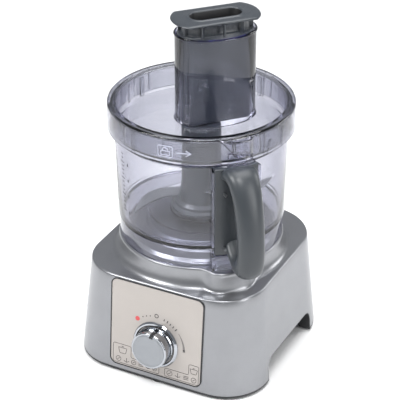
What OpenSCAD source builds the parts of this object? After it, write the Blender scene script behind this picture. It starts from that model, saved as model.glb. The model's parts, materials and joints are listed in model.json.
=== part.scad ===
// Food processor: a motor base with a control knob, a clear work bowl with a handle,
// a clear lid with a feed chute, a food pusher and a two-bladed knife.
// Millimetres, +Z up. The origin is on the drive axis, on the plane the feet stand on.
// The front is -Y, and the object's right-hand side is +X.

/* [Base] */
// Width of the base across its foot
base_w = 224; // [222:1:228]
// Distance from the drive axis to the front of the foot
base_front = 112.4; // [111:0.2:114]
// Distance from the drive axis to the back of the foot
base_back = 114; // [112:1:118]
// Height of the top front edge
base_h = 118.3; // [117:0.1:119]
// Height of the collar that the bowl stands on
collar_h = 141; // [141:0.5:142]
// Wall thickness of the housing
base_wall = 2.8; // [2.4:0.1:3.2]
// Half length of the hand recess in each side
recess_half = 57; // [50:1:58]
// Height of the hand recess in each side
recess_h = 30; // [26:1:31]

/* [Control panel] */
// Width of the control panel
panel_w = 110; // [104:1:112]
// Height of the control panel along its slope
panel_h = 104; // [100:1:106]
// Distance of the knob axis below the panel's centre
knob_drop = 15; // [12:1:18]
// Radius of the knob at its grip
knob_r = 22.4; // [21:0.1:23]
// Length of the knob from the panel to its face
knob_len = 18; // [15:0.5:20]

/* [Bowl] */
// Outer radius of the bowl under the lid
bowl_r_top = 93.2; // [93:0.1:93.6]
// Outer radius of the bowl at its foot
bowl_r_foot = 89.2; // [88.6:0.1:89.6]
// Wall thickness of the bowl
bowl_wall = 2.6; // [2.4:0.1:2.8]
// Height of the bowl floor above the feet
floor_z = 166.5; // [166:0.5:168]
// Direction of the handle, seen from above
handle_angle = -42; // [-45:0.5:-40]
// Distance of the grip's middle from the drive axis
grip_reach = 139; // [137:0.5:141]
// Width of the grip
grip_w = 30; // [27:1:32]

/* [Lid] */
// Outer radius of the lid
lid_r = 100.6; // [100.4:0.1:101.2]
// Height of the lid's floor above the feet
lid_floor = 270; // [270:0.5:271]
// Height of the lid's rim above the feet
lid_top = 297.7; // [297:0.1:299]
// Half length of the feed chute
chute_a = 44.2; // [43.8:0.1:44.6]
// Half width of the feed chute
chute_b = 30.4; // [30:0.1:30.8]
// Direction of the chute's long axis, seen from above
chute_angle = 48; // [46:0.5:50]
// Height of the top of the chute above the feet
chute_top = 368.5; // [364:0.5:372]
// Half length of the pusher's flange
flange_a = 48.3; // [47:0.1:49]
// Half width of the pusher's flange
flange_b = 36.1; // [35:0.1:37]

/* [Drive] */
// Teeth on the motor pulley
motor_teeth = 14; // [14:1:15]
// Teeth on the spindle pulley
spindle_teeth = 72; // [70:1:73]
// Radius of the drive spindle
spindle_r = 6; // [5.5:0.5:6]

/* [Hidden] */
$fn = 96;

// Thickness of the slices that the housing is drawn through
slice_t = 0.4;
// Small overlap that keeps a cut or a join clean
eps = 0.05;
// Gap of a turning or sliding fit in a bore, on the radius
run_fit = 0.05;

// Base
foot_gap = 3;
trim_h = 2.5;
shell_z = foot_gap + trim_h;
half_w = base_w / 2;
top_half_w = half_w - 9.2;
top_front = base_front - 10.4;
top_back = base_back - 7.5;
top_tilt = 1.15;
front_tilt = atan((base_front - top_front) / (base_h - foot_gap));
boss_r = 58;
boss_z = 151;
interlock_r = 98.5;

// Control panel, which leans back with the front of the housing
panel_proud = 0.6;
panel_t = 1.4;
panel_corner = 7;
bezel_w = 1.3;
panel_mid_z = base_h - 3 - panel_h / 2 * cos(front_tilt);
panel_mid_y = -(top_front + (base_h - panel_mid_z) * tan(front_tilt) + panel_proud);
ring_r = 27;
shaft_r = 3;
knob_rest = -10;

// Bowl and handle
wall_slope = (bowl_r_top - bowl_r_foot) / (262 - collar_h);
bowl_z = collar_h + 0.3;
rim_r = 96.6;
bracket_half = 13.5;
bracket_r = bowl_r_top + 10.5;
bracket_z = 144.6;
bracket_top = 265.4;
rod_r = 2.4;
rod_bore = rod_r + run_fit;
rod_top = 266;
rod_tip = collar_h + 0.3;
plunger_r = 3;

// Lid and chute
lid_wall = 2.4;
lid_inner_r = 91;
chute_x = 5.2;
chute_y = 22.3;
chute_wall = 2.2;
pusher_gap = 0.8;
pusher_wall = 2.4;
pusher_z = lid_floor - 1.5;
flange_z = chute_top + 13.5;
flange_t = 2.4;
tab_r = 111;
tongue_r = 102.9;

// Drive
belt_pitch = 4;
motor_x = -48;
motor_y = 58;
motor_pulley_r = motor_teeth * belt_pitch / (2 * PI);
spindle_pulley_r = spindle_teeth * belt_pitch / (2 * PI);
belt_z = 10;
belt_w = 11;
chassis_z = 25;
chassis_t = 4;
shaft_fit = 4;
motor_top_z = 106;
armature_r = 19;
stator_r = 33;
hub_r = 21.5;
hub_top = 266;
collar_top = floor_z + 32;
tube_r = 14;
blade_t = 2;
lower_blade_z = 177;
upper_blade_z = 195;
blade_reach = 80.7;

// Points along an arc
function arc(cx, cy, r, a0, a1, n) =
    [for (i = [0:n]) [cx + r * cos(a0 + (a1 - a0) * i / n), cy + r * sin(a0 + (a1 - a0) * i / n)]];

// Height of the front edge's bulge lost at a distance x from the middle
function bulge(x, hw) = 5 * pow(x / hw, 4);

// Outline of the base: a bulged front, straight sides and round corners
function base_outline(hw, f, b, rf, rb) = concat(
    [for (i = [-3:3]) [i / 3 * (hw - rf), -f + bulge(i / 3 * (hw - rf), hw)]],
    arc(hw - rf, -f + rf + bulge(hw - rf, hw), rf, -84, 0, 5),
    arc(hw - rb, b - rb, rb, 0, 90, 5),
    arc(rb - hw, b - rb, rb, 90, 180, 5),
    arc(rf - hw, -f + rf + bulge(hw - rf, hw), rf, 180, 264, 5));

// Points of a superellipse, an oval a little squarer than an ellipse
function oval_points(a, b, n) =
    [for (i = [0:n - 1]) let (t = 360 * i / n, c = cos(t), s = sin(t))
        [a * sign(c) * pow(abs(c), 0.91), b * sign(s) * pow(abs(s), 0.91)]];

module oval(a, b) polygon(oval_points(a, b, 72));

module rounded_rect(w, h, r) {
    translate([r - w / 2, -h / 2]) square([w - 2 * r, h]);
    translate([-w / 2, r - h / 2]) square([w, h - 2 * r]);
    for (x = [-1, 1], y = [-1, 1]) translate([x * (w / 2 - r), y * (h / 2 - r)]) circle(r);
}

// One thin slice of the housing, given its height, its tilt and how far in from the skin it is
module housing_slice(z, tilt, setback) {
    k = (z - foot_gap) / (base_h - foot_gap);
    hw = half_w + (top_half_w - half_w) * k - setback;
    f = base_front + (top_front - base_front) * k - setback;
    b = base_back + (top_back - base_back) * k - setback;
    translate([0, 0, z]) translate([0, -f, 0]) rotate([tilt, 0, 0]) translate([0, f, 0])
        linear_extrude(slice_t) polygon(base_outline(hw, f, b, 52, 60));
}

// The housing's tapered block, or with an inset the stepped hollow inside it
module housing_block(inset, z0, z1) {
    if (inset == 0) hull() {
        housing_slice(z0, 0, 0);
        housing_slice(z1 - 4, top_tilt, 0);
        housing_slice(z1, top_tilt, 3);
    }
    else {
        hollow_step(z0, 62 - z0, inset, (half_w - top_half_w) / 2);
        hollow_step(61, z1 - 61, inset, 0);
    }
}

// One straight step of the hollow inside the housing, out mm wider than its top
module hollow_step(z, h, inset, out) translate([0, 0, z]) linear_extrude(h)
    polygon(base_outline(top_half_w - inset + out, top_front - inset + out, top_back - inset + out, 46, 54));

// Places its child on the control panel: local +Z leaves the panel, local +Y runs up it
module on_panel() translate([0, panel_mid_y, panel_mid_z]) rotate([90 - front_tilt, 0, 0]) children();

module at_knob() on_panel() translate([0, -knob_drop, 0]) children();

// Turns its child to the knob's rest position
module at_pointer() at_knob() rotate([0, 0, knob_rest]) children();

module at_handle() rotate([0, 0, handle_angle]) children();

module at_chute() translate([chute_x, chute_y, 0]) rotate([0, 0, chute_angle]) children();

module at_motor() translate([motor_x, motor_y, 0]) children();

// Solid of revolution under the bowl: a coved collar, a seat and a low central boss
module collar_form(inset) rotate_extrude() polygon(concat(
    [[0, 108], [99 - inset, 108], [99 - inset, base_h + 0.5]],
    [for (i = [1:6]) let (a = 15 * i) [99 - inset - 8.4 * sin(a), collar_h - 2.4 - 19.8 * cos(a)]],
    [[bowl_r_foot - 0.6 - inset, collar_h - inset], [78, collar_h - inset], [75, collar_h + 4 - inset],
     [boss_r + 4, collar_h + 5 - inset], [boss_r, boss_z - inset], [0, boss_z - inset]]));

// Lobe of the collar under the handle, which takes the interlock
module lobe_form(inset) at_handle() translate([80, 0, 108])
    cylinder(r = 25.5 - inset, h = collar_h - 108.4 - inset);

// Hand recess in each side, an opening with rounded ends
module recess_cut(depth) for (s = [-1, 1]) translate([s * (half_w + 10 - depth / 2 - 5), 0, 0])
    rotate([90, 0, 90]) linear_extrude(depth + 10, center = true) {
        translate([-recess_half, -1]) square([2 * recess_half, recess_h - 20]);
        translate([20 - recess_half, -1]) square([2 * recess_half - 40, recess_h + 1]);
        for (x = [-1, 1]) translate([x * (recess_half - 20), recess_h - 20]) circle(20);
    }

screw_spots = [[-62, -86], [62, -86], [-88, 72], [88, 72]];
foot_spots = [[0, -104], [-82, -93], [82, -93], [-76, 88], [76, 88]];

// ---------- Base ----------

module housing() color([0.66, 0.68, 0.69]) difference() {
    union() {
        difference() {
            union() {
                housing_block(0, shell_z, base_h);
                collar_form(0);
                lobe_form(0);
            }
            housing_block(base_wall, shell_z - 1, base_h - base_wall);
            collar_form(base_wall);
            lobe_form(base_wall);
        }
        // Guide tube for the interlock's plunger
        at_handle() translate([interlock_r, 0, collar_h - 16]) cylinder(r = plunger_r + 1.8, h = 15);
        // Seat for the spindle's seal
        translate([0, 0, boss_z - 8]) cylinder(r = 18, h = 8);
        for (p = screw_spots) translate([p[0], p[1], shell_z + 0.5])
            cylinder(r = 4.5, h = base_h - base_wall - shell_z + 0.5);
    }
    recess_cut(24);
    at_handle() translate([interlock_r, 0, collar_h - 20]) cylinder(r = plunger_r + run_fit, h = 30);
    translate([0, 0, boss_z - 9]) cylinder(r = spindle_r + 2, h = 12);
    translate([0, 0, boss_z - 4]) cylinder(r = 13, h = 6);
    for (p = screw_spots) translate([p[0], p[1], shell_z]) cylinder(r = 1.6, h = 22);
    // Pocket for the panel, and the hole that the switch goes through
    on_panel() translate([0, 0, -panel_t]) linear_extrude(6)
        rounded_rect(panel_w + 2 * bezel_w, panel_h + 2 * bezel_w, panel_corner + bezel_w);
    at_knob() translate([0, 0, -12]) cylinder(r = 10, h = 14);
    // Hole for the cord's inlet
    translate([45, base_back - 14, 22]) rotate([-90, 0, 0]) cylinder(r = 8, h = 30);
}

module base_plate() color([0.12, 0.12, 0.13]) difference() {
    union() {
        translate([0, 0, foot_gap]) linear_extrude(trim_h - 0.1)
            polygon(base_outline(half_w - 0.7, base_front - 0.7, base_back - 0.7, 52, 60));
        // Walls that close the hand recesses off from the inside
        for (s = [-1, 1]) translate([s * 91, 0, foot_gap + recess_h / 2])
            cube([2.4, 2 * recess_half + 12, recess_h], center = true);
        for (s = [-1, 1]) translate([s * 96.2, 0, foot_gap + recess_h])
            cube([12.6, 2 * recess_half + 12, 2], center = true);
        for (s = [-1, 1], y = [-1, 1])
            translate([s * 96.2, y * (recess_half + 5), foot_gap + recess_h / 2])
                cube([12.6, 2, recess_h], center = true);
        // Pillars that carry the chassis
        for (p = chassis_spots) translate([p[0], p[1], foot_gap]) cylinder(r = 5, h = chassis_z - foot_gap);
    }
    // The plate is cut away under each recess
    for (s = [-1, 1]) translate([s * 106, 0, 0]) cube([27, 2 * recess_half + 4, 2 * shell_z + 2], center = true);
    for (p = screw_spots) translate([p[0], p[1], 0]) cylinder(r = 2, h = 10);
    for (p = chassis_spots) translate([p[0], p[1], 12]) cylinder(r = 1.5 + eps, h = 20);
    for (p = foot_spots) translate([p[0], p[1], 0]) cylinder(r = 4, h = 10);
    // Slots that let the motor's cooling air in
    for (i = [-4:4]) translate([motor_x + i * 5, motor_y, 0]) cube([2.4, 44, 20], center = true);
}

chassis_spots = [[-78, 60], [-4, 84], [60, 20], [-34, -52], [48, -38], [-74, 14]];

module feet() color([0.1, 0.1, 0.1]) for (p = foot_spots) translate([p[0], p[1], 0]) {
    rotate_extrude() polygon([[0, 0], [6.2, 0], [7, 0.8], [7, foot_gap], [0, foot_gap]]);
    cylinder(r = 4 - eps, h = foot_gap + trim_h - 0.1);
}

module housing_screws() color([0.6, 0.6, 0.62]) for (p = screw_spots) translate([p[0], p[1], 0]) {
    translate([0, 0, foot_gap - 1.6]) cylinder(r = 3.4, h = 1.6);
    translate([0, 0, foot_gap - 0.1]) cylinder(r = 1.6, h = 20);
}

module cord_gland() color([0.1, 0.1, 0.1]) translate([45, base_back - 14, 22]) rotate([-90, 0, 0])
    difference() {
        union() {
            translate([0, 0, -6]) cylinder(r = 7.95, h = 24);
            translate([0, 0, 13.6]) cylinder(r = 10.5, h = 2.4);
        }
        translate([0, 0, -7]) cylinder(r = 3.8, h = 30);
    }

module front_panel() color([0.8, 0.77, 0.74]) on_panel() translate([0, 0, -panel_t]) difference() {
    linear_extrude(panel_t) rounded_rect(panel_w, panel_h, panel_corner);
    translate([0, -knob_drop, -1]) cylinder(r = 10, h = panel_t + 2);
}

module panel_bezel() color([0.08, 0.08, 0.08]) on_panel() translate([0, 0, -panel_t])
    linear_extrude(panel_t + 0.3) difference() {
        rounded_rect(panel_w + 2 * bezel_w - 0.1, panel_h + 2 * bezel_w - 0.1, panel_corner + bezel_w);
        rounded_rect(panel_w, panel_h, panel_corner);
    }

// ---------- Knob ----------

module knob_ring() color([0.85, 0.86, 0.88]) at_knob() rotate_extrude() polygon([
    [knob_r + 0.6, 0], [ring_r, 0], [ring_r, 1], [ring_r - 1.4, 2.6], [ring_r - 3, 2.8], [knob_r + 0.6, 1.2]]);

module speed_switch() color([0.2, 0.2, 0.22]) at_knob() difference() {
    union() {
        translate([0, 0, -21]) linear_extrude(12) rounded_rect(30, 30, 3);
        translate([0, 0, -10]) cylinder(r = 9.6, h = 10);
    }
    translate([0, 0, -24]) cylinder(r = shaft_r + run_fit, h = 30);
}

// Profile of the knob's side, waisted above its skirt
knob_profile = [[0, 0.4], [knob_r, 0.4], [knob_r, 2], [knob_r - 0.6, 4.5], [knob_r - 1, 10],
    [knob_r - 0.9, knob_len - 2.4], [knob_r - 1.4, knob_len - 1.2], [knob_r - 2.4, knob_len - 1.2],
    [knob_r - 2.4, knob_len - 2], [0, knob_len - 2]];

module knob() color([0.82, 0.83, 0.85]) at_pointer() difference() {
    rotate_extrude() polygon(knob_profile);
    translate([0, 0, -1]) cylinder(r = shaft_r, h = 13);
    // Groove that holds the pointer
    translate([-2.1, knob_r - 5, 3]) cube([4.2, 10, knob_len]);
}

module knob_cap() color([0.78, 0.8, 0.82]) at_pointer() translate([0, 0, knob_len - 2]) difference() {
    cylinder(r = knob_r - 2.4, h = 2);
    translate([-2.1, knob_r - 5, -1]) cube([4.2, 10, 6]);
}

module knob_pointer() color([0.06, 0.06, 0.07]) at_pointer() intersection() {
    translate([-2, knob_r - 4.9, 3.1]) cube([4, 10, knob_len - 4.4]);
    translate([0, 0, 1]) cylinder(r = knob_r - 1.6, h = knob_len);
}

module knob_shaft() color([0.7, 0.7, 0.72]) at_knob() translate([0, 0, -22]) cylinder(r = shaft_r, h = 34);

// ---------- Motor ----------

module chassis() color([0.5, 0.5, 0.52]) difference() {
    union() {
        translate([0, 0, chassis_z]) linear_extrude(chassis_t) union() {
            hull() {
                translate([motor_x, motor_y]) circle(36);
                circle(26);
            }
            for (p = chassis_spots) hull() {
                translate([p[0], p[1]]) circle(7);
                translate([p[0] / 2 + motor_x / 4, p[1] / 2 + motor_y / 4]) circle(9);
            }
        }
        // Tube that carries both spindle bearings
        translate([0, 0, chassis_z]) cylinder(r = 15, h = 108);
        // Bearing seat of the motor, and pillars up to its top bracket
        at_motor() translate([0, 0, chassis_z]) cylinder(r = 11, h = 7);
        at_motor() for (a = [45:90:315]) rotate([0, 0, a]) translate([stator_r + 5, 0, chassis_z])
            cylinder(r = 4, h = motor_top_z - chassis_z);
    }
    translate([0, 0, chassis_z - 1]) cylinder(r = 11, h = 110);
    at_motor() translate([0, 0, chassis_z - 1]) cylinder(r = 5.5, h = 20);
    at_motor() translate([0, 0, chassis_z + 1]) cylinder(r = 8, h = 20);
    for (p = chassis_spots) translate([p[0], p[1], 0]) cylinder(r = 1.8, h = 60);
    at_motor() for (a = [0:45:315]) rotate([0, 0, a]) translate([22, 0, 0]) cylinder(r = 4, h = 60);
    at_motor() for (a = [45:90:315]) rotate([0, 0, a]) translate([stator_r + 5, 0, motor_top_z - 12])
        cylinder(r = 1.5 + eps, h = 20);
}

module chassis_screws() color([0.6, 0.6, 0.62]) {
    for (p = chassis_spots) translate([p[0], p[1], 0]) {
        translate([0, 0, chassis_z + chassis_t]) cylinder(r = 3.2, h = 2);
        translate([0, 0, chassis_z - 8]) cylinder(r = 1.5, h = 12 + eps);
    }
    at_motor() for (a = [45:90:315]) rotate([0, 0, a]) translate([stator_r + 5, 0, 0]) {
        translate([0, 0, motor_top_z + 4]) cylinder(r = 3.2, h = 2);
        translate([0, 0, motor_top_z - 8]) cylinder(r = 1.5, h = 12 + eps);
    }
}

module motor_stator() color([0.45, 0.45, 0.48]) at_motor() translate([0, 0, 54]) difference() {
    cylinder(r = stator_r, h = 36);
    translate([0, 0, -1]) cylinder(r = armature_r + 0.8, h = 40);
    for (a = [45, 225]) rotate([0, 0, a]) translate([26, 0, 17]) cube([10, 30, 60], center = true);
}

module field_coils() color([0.72, 0.42, 0.22]) at_motor() for (z = [45.9, 90.1]) translate([0, 0, z])
    rotate_extrude() translate([25.5, 4]) circle(3.9, $fn = 32);

module motor_top_bracket() color([0.5, 0.5, 0.52]) at_motor() translate([0, 0, motor_top_z]) difference() {
    union() {
        for (a = [45, 135]) rotate([0, 0, a]) linear_extrude(4) hull() for (s = [-1, 1])
            translate([s * (stator_r + 5), 0]) circle(5);
        cylinder(r = 12, h = 8);
    }
    translate([0, 0, -1]) cylinder(r = 8, h = 8);
    for (a = [45:90:315]) rotate([0, 0, a]) translate([stator_r + 5, 0, -1]) cylinder(r = 1.8, h = 10);
}

module bearing(bore, outer, h) difference() {
    cylinder(r = outer, h = h);
    translate([0, 0, -1]) cylinder(r = bore, h = h + 2);
}

module motor_bearings() color([0.75, 0.75, 0.78]) at_motor() for (z = [chassis_z + 1, motor_top_z + 0.5])
    translate([0, 0, z]) bearing(shaft_fit + run_fit, 8, 6);

module brush_holders() color([0.62, 0.52, 0.3]) at_motor() for (s = [-1, 1]) difference() {
    union() {
        translate([s * 20, 0, 39]) cube([13, 9, 11], center = true);
        translate([s * 20, 0, chassis_z + chassis_t + 2.6]) cube([6, 9, 5.3], center = true);
    }
    translate([s * 20, 0, 39]) cube([20, 5, 7], center = true);
}

module carbon_brushes() color([0.15, 0.15, 0.15]) at_motor() for (s = [-1, 1])
    translate([s * 18.2, 0, 39]) cube([13, 4.8, 6.8], center = true);

module motor_shaft() color([0.75, 0.75, 0.78]) at_motor() translate([0, 0, belt_z - 1])
    cylinder(r = shaft_fit, h = motor_top_z + 7 - belt_z);

// Armature: a laminated core with two heads of winding
module armature() color([0.6, 0.4, 0.25]) at_motor() difference() {
    union() {
        translate([0, 0, 54]) cylinder(r = armature_r, h = 36);
        translate([0, 0, 48]) rotate_extrude() polygon([[0, 0], [13, 0], [16, 3], [16, 6], [0, 6]]);
        translate([0, 0, 90]) rotate_extrude() polygon([[0, 0], [16, 0], [16, 3], [13, 5.5], [0, 5.5]]);
    }
    cylinder(r = shaft_fit, h = 120);
    for (i = [0:11]) rotate([0, 0, 30 * i]) translate([armature_r, 0, 72]) cube([3, 1.6, 38], center = true);
}

module commutator() color([0.75, 0.45, 0.25]) at_motor() translate([0, 0, 33]) difference() {
    cylinder(r = 11.4, h = 14);
    translate([0, 0, -1]) cylinder(r = shaft_fit, h = 20);
    for (i = [0:11]) rotate([0, 0, 30 * i + 15]) translate([11.4, 0, 7]) cube([1.6, 0.6, 16], center = true);
}

module cooling_fan() color([0.25, 0.25, 0.27]) at_motor() translate([0, 0, 98.4]) difference() {
    union() {
        cylinder(r = 27, h = 1.6);
        cylinder(r = 8, h = 6.4);
        for (i = [0:8]) rotate([0, 0, 40 * i]) translate([16, 0, 3.6]) cube([20, 1.4, 5], center = true);
    }
    translate([0, 0, -1]) cylinder(r = shaft_fit, h = 10);
}

// ---------- Belt drive and spindle ----------

// Toothed pulley with two flanges
module pulley(r, teeth, bore, hub, hub_h) difference() {
    union() {
        translate([0, 0, belt_z]) linear_extrude(belt_w) difference() {
            circle(r);
            for (i = [0:teeth - 1]) rotate(360 * i / teeth) translate([r, 0]) circle(0.8, $fn = 16);
        }
        for (z = [belt_z - 1, belt_z + belt_w]) translate([0, 0, z]) cylinder(r = r + 1.2, h = 1);
        translate([0, 0, belt_z - 1]) cylinder(r = hub, h = hub_h);
    }
    translate([0, 0, belt_z - 2]) cylinder(r = bore, h = hub_h + 4);
}

module motor_pulley() color([0.7, 0.7, 0.72]) at_motor()
    pulley(motor_pulley_r, motor_teeth, shaft_fit, 7, belt_w + 2);

module spindle_pulley() color([0.85, 0.84, 0.8]) difference() {
    pulley(spindle_pulley_r, spindle_teeth, spindle_r, 12, belt_w + 3.4);
    for (i = [0:5]) rotate([0, 0, 60 * i]) translate([28, 0, 0]) cylinder(r = 9, h = 60);
}

// Belt: the loop round both pulleys, a little clear of their teeth
module drive_belt() color([0.08, 0.08, 0.08]) translate([0, 0, belt_z + 0.6])
    linear_extrude(belt_w - 1.2) difference() {
        belt_loop(2.6);
        belt_loop(0.4);
    }

module belt_loop(out) hull() {
    circle(spindle_pulley_r + out);
    translate([motor_x, motor_y]) circle(motor_pulley_r + out);
}

// Spindle, with a splined head that drives the knife
module drive_spindle() color([0.75, 0.75, 0.78]) {
    translate([0, 0, belt_z - 2]) cylinder(r = spindle_r, h = 196 - belt_z);
    translate([0, 0, 192]) linear_extrude(26) union() {
        circle(6.6);
        for (i = [0:5]) rotate(60 * i) translate([6.2, 0]) square([3.6, 2.4], center = true);
    }
}

module spindle_bearings() color([0.72, 0.6, 0.35]) for (z = [chassis_z + 1, 121])
    translate([0, 0, z]) bearing(spindle_r + run_fit, 11, 12);

module spindle_seal() color([0.1, 0.1, 0.1]) translate([0, 0, boss_z - 4]) difference() {
    cylinder(r = 13, h = 4.4);
    translate([0, 0, -1]) cylinder(r = spindle_r + 0.1, h = 8);
}

// ---------- Electrics ----------

module control_board() color([0.1, 0.35, 0.2]) translate([4, -81.2, 14]) cube([56, 32.5, 1.6]);

module board_parts() color([0.2, 0.2, 0.25]) {
    translate([20, -74, 15.6]) cylinder(r = 6, h = 18);
    translate([34, -78, 15.6]) cube([12, 12, 9]);
    translate([52, -80, 15.6]) cube([4, 24, 16]);
    translate([20, -58, 15.6]) cube([18, 7, 8]);
}

// Micro switch under the interlock's plunger
module safety_switch() color([0.15, 0.15, 0.17]) at_handle() translate([interlock_r, 0, collar_h - 34])
    union() {
        cube([12, 20, 12], center = true);
        translate([0, 0, 6]) cylinder(r = 1.4, h = 1.5);
    }

module switch_plunger() color([0.85, 0.85, 0.85]) at_handle() translate([interlock_r, 0, 0]) {
    translate([0, 0, collar_h - 24]) cylinder(r = plunger_r, h = 24);
    translate([0, 0, collar_h - 26]) cylinder(r = 4, h = 2);
}

// ---------- Knife ----------

// Column of the knife, which stands on the collar that carries the blades
module knife_hub() color([0.3, 0.32, 0.34]) difference() {
    rotate_extrude() polygon([[0, collar_top], [hub_r, collar_top], [hub_r, hub_top - 3],
        [hub_r - 3, hub_top], [0, hub_top]]);
    hub_bore();
}

module knife_collar() color([0.3, 0.32, 0.34]) difference() {
    rotate_extrude() polygon([
        [0, floor_z + 2], [33, floor_z + 2], [33, floor_z + 4.5], [29, floor_z + 7], [29, floor_z + 9],
        [25, floor_z + 12], [hub_r + 1, floor_z + 22], [hub_r, collar_top], [0, collar_top]]);
    hub_bore();
    // Slots that the blades are moulded into
    for (z = [lower_blade_z, upper_blade_z]) translate([0, 0, z]) difference() {
        cylinder(r = 40, h = blade_t);
        translate([0, 0, -1]) cylinder(r = hub_r - 3.5, h = blade_t + 2);
    }
}

// Stepped hole up the knife, over the bowl's tube and the spindle's head
module hub_bore() {
    translate([0, 0, floor_z]) cylinder(r = tube_r + 1.5, h = 26);
    translate([0, 0, floor_z + 25]) cylinder(r = 12, h = 26.5);
    translate([0, 0, 224]) cylinder(r = hub_r - 4, h = hub_top - 227);
}

// Point on a curve from a to c that bends towards b
function curve(a, b, c, t) = a * pow(1 - t, 2) + b * 2 * t * (1 - t) + c * t * t;

// Sickle-shaped blade: the cutting edge and the back are two curves that meet at the tip
module blade_shape() {
    tip = blade_reach * [cos(55), sin(55)];
    polygon(concat([for (i = [0:16]) curve([15.5, -14], [77, 2], tip, i / 16)],
        [for (i = [15:-1:0]) curve([18.5, 9], [43, 17], tip, i / 16)]));
}

module blade(z, turn) rotate([0, 0, turn]) translate([0, 0, z]) difference() {
    linear_extrude(blade_t) union() {
        blade_shape();
        circle(hub_r + 4);
    }
    translate([0, 0, -1]) cylinder(r = hub_r - 3.5 + eps, h = 5);
}

module lower_blade() color([0.8, 0.8, 0.82]) blade(lower_blade_z, 179);

module upper_blade() color([0.8, 0.8, 0.82]) blade(upper_blade_z, -19);

// ---------- Bowl ----------

function wall_r(z) = bowl_r_foot + wall_slope * (z - collar_h);

module bowl() color([0.72, 0.74, 0.82, 0.35]) difference() {
    union() {
        rotate_extrude() polygon(concat(
            // Outside, from the foot up to the rim under the lid
            [[bowl_r_foot - 3, bowl_z], [bowl_r_foot, bowl_z], [wall_r(262), 262], [rim_r, 265.5],
             [rim_r, 293], [rim_r - bowl_wall, 293], [rim_r - bowl_wall, 266.5],
             [wall_r(262) - bowl_wall, 262.5]],
            // Inside, down to the floor, its raised ring and the centre tube
            arc(wall_r(170) - bowl_wall - 6, floor_z + 6, 6, 0, -90, 5),
            [[57, floor_z], [55, floor_z - 2], [34.5, floor_z - 2], [33.5, floor_z - 1], [tube_r + 4, floor_z - 1],
             [tube_r, floor_z + 3], [tube_r - 0.6, floor_z + 24], [tube_r - 3, floor_z + 24],
             [tube_r - 3, boss_z + 3], [tube_r + 0.5, boss_z + 3], [tube_r + 0.5, floor_z - 4.6],
             [57, floor_z - 4.6], [60, floor_z - 2.8], [wall_r(160) - 3, floor_z - 2.8]]));
        // Bracket that the handle is fixed to, open below for the interlock rod
        at_handle() bracket_form(bracket_half, bracket_r, bracket_z, 160);
    }
    at_handle() translate([interlock_r, 0, 100]) cylinder(r = rod_bore + 1.2, h = 200);
}

// A sector block outside the bowl wall
module bracket_form(half, r, z0, z1) intersection() {
    translate([0, 0, z0]) difference() {
        cylinder(r = r, h = z1 - z0);
        translate([0, 0, -1]) cylinder(r1 = wall_r(z0) - 0.5, r2 = wall_r(z1) - 0.5, h = z1 - z0 + 2);
    }
    translate([0, 0, z0]) linear_extrude(z1 - z0)
        polygon([[0, 0], [130 * cos(half), -130 * sin(half)], [130 * cos(half), 130 * sin(half)]]);
}

// Side view of the grip, a bowed bar joined to its bracket at both ends
grip_outer = [[97, 258], [107, 265], [114, 268], [124, 265], [134, 254], [142, 239], [149, 218], [152, 200],
    [153, 186], [152, 170], [148, 158], [140, 152], [129, 151], [119, 154], [110, 160], [97, 167]];
grip_inner = [[107, 249], [116, 246], [123, 236], [127, 220], [129, 204], [129.5, 190], [128.5, 178],
    [124, 171.5], [117, 171], [110, 175], [107, 181]];

// Moves the grip's points out with its reach; those at the bowl stay where they are
function reached(points) = [for (p = points)
    [p[0] + (grip_reach - 139) * min(1, max(0, (p[0] - 108) / 16)), p[1]]];

module handle() color([0.4, 0.42, 0.44]) at_handle() difference() {
    union() {
        intersection() {
            rotate([90, 0, 0]) linear_extrude(grip_w, center = true) offset(3) offset(-3) difference() {
                polygon(reached(grip_outer));
                polygon(reached(grip_inner));
            }
            // Rounds the bar's outside across its width
            translate([0, 0, 140]) linear_extrude(130) hull() {
                translate([grip_reach - 3, 0]) circle(17);
                translate([90, 0]) square([10, grip_w], center = true);
            }
        }
        handle_plate();
    }
    translate([0, 0, 140]) cylinder(r1 = wall_r(140) + 0.1, r2 = wall_r(262) + 0.1, h = 122);
    translate([0, 0, 261.5]) cylinder(r = rim_r + 0.1, h = 10);
    translate([interlock_r, 0, 100]) cylinder(r = rod_bore, h = 200);
    translate([interlock_r, 0, 176]) cylinder(r = 4.2, h = 30);
    for (z = [172, 236]) translate([96, 0, z]) rotate([0, 90, 0]) for (y = [-14, 14])
        translate([0, y, 0]) cylinder(r = 1.5, h = 20);
}

// Plate of the handle that hugs the bowl wall
module handle_plate() intersection() {
    translate([0, 0, 160]) difference() {
        cylinder(r = bracket_r - 0.4, h = bracket_top - 160);
        translate([0, 0, -1]) cylinder(r = 90, h = 200);
    }
    translate([0, 0, 160]) linear_extrude(bracket_top - 160)
        polygon([[0, 0], [130 * cos(bracket_half), -130 * sin(bracket_half)],
            [130 * cos(bracket_half), 130 * sin(bracket_half)]]);
}

module handle_screws() color([0.6, 0.6, 0.62]) at_handle() for (z = [172, 236], y = [-14, 14])
    translate([97, y, z]) rotate([0, 90, 0]) cylinder(r = 1.5, h = 9);

// Rod that carries the lid's push down to the base
module interlock_rod() color([0.3, 0.32, 0.34]) at_handle() translate([interlock_r, 0, 0]) {
    translate([0, 0, rod_tip]) cylinder(r = rod_r, h = rod_top - rod_tip);
    translate([0, 0, 198]) cylinder(r = 4, h = 2);
}

module rod_spring() color([0.75, 0.75, 0.78]) at_handle() translate([interlock_r, 0, 176.5])
    for (i = [0:7]) translate([0, 0, 1 + i * 2.7]) rotate_extrude() translate([3.3, 0]) circle(0.5, $fn = 16);

// ---------- Lid ----------

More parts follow.
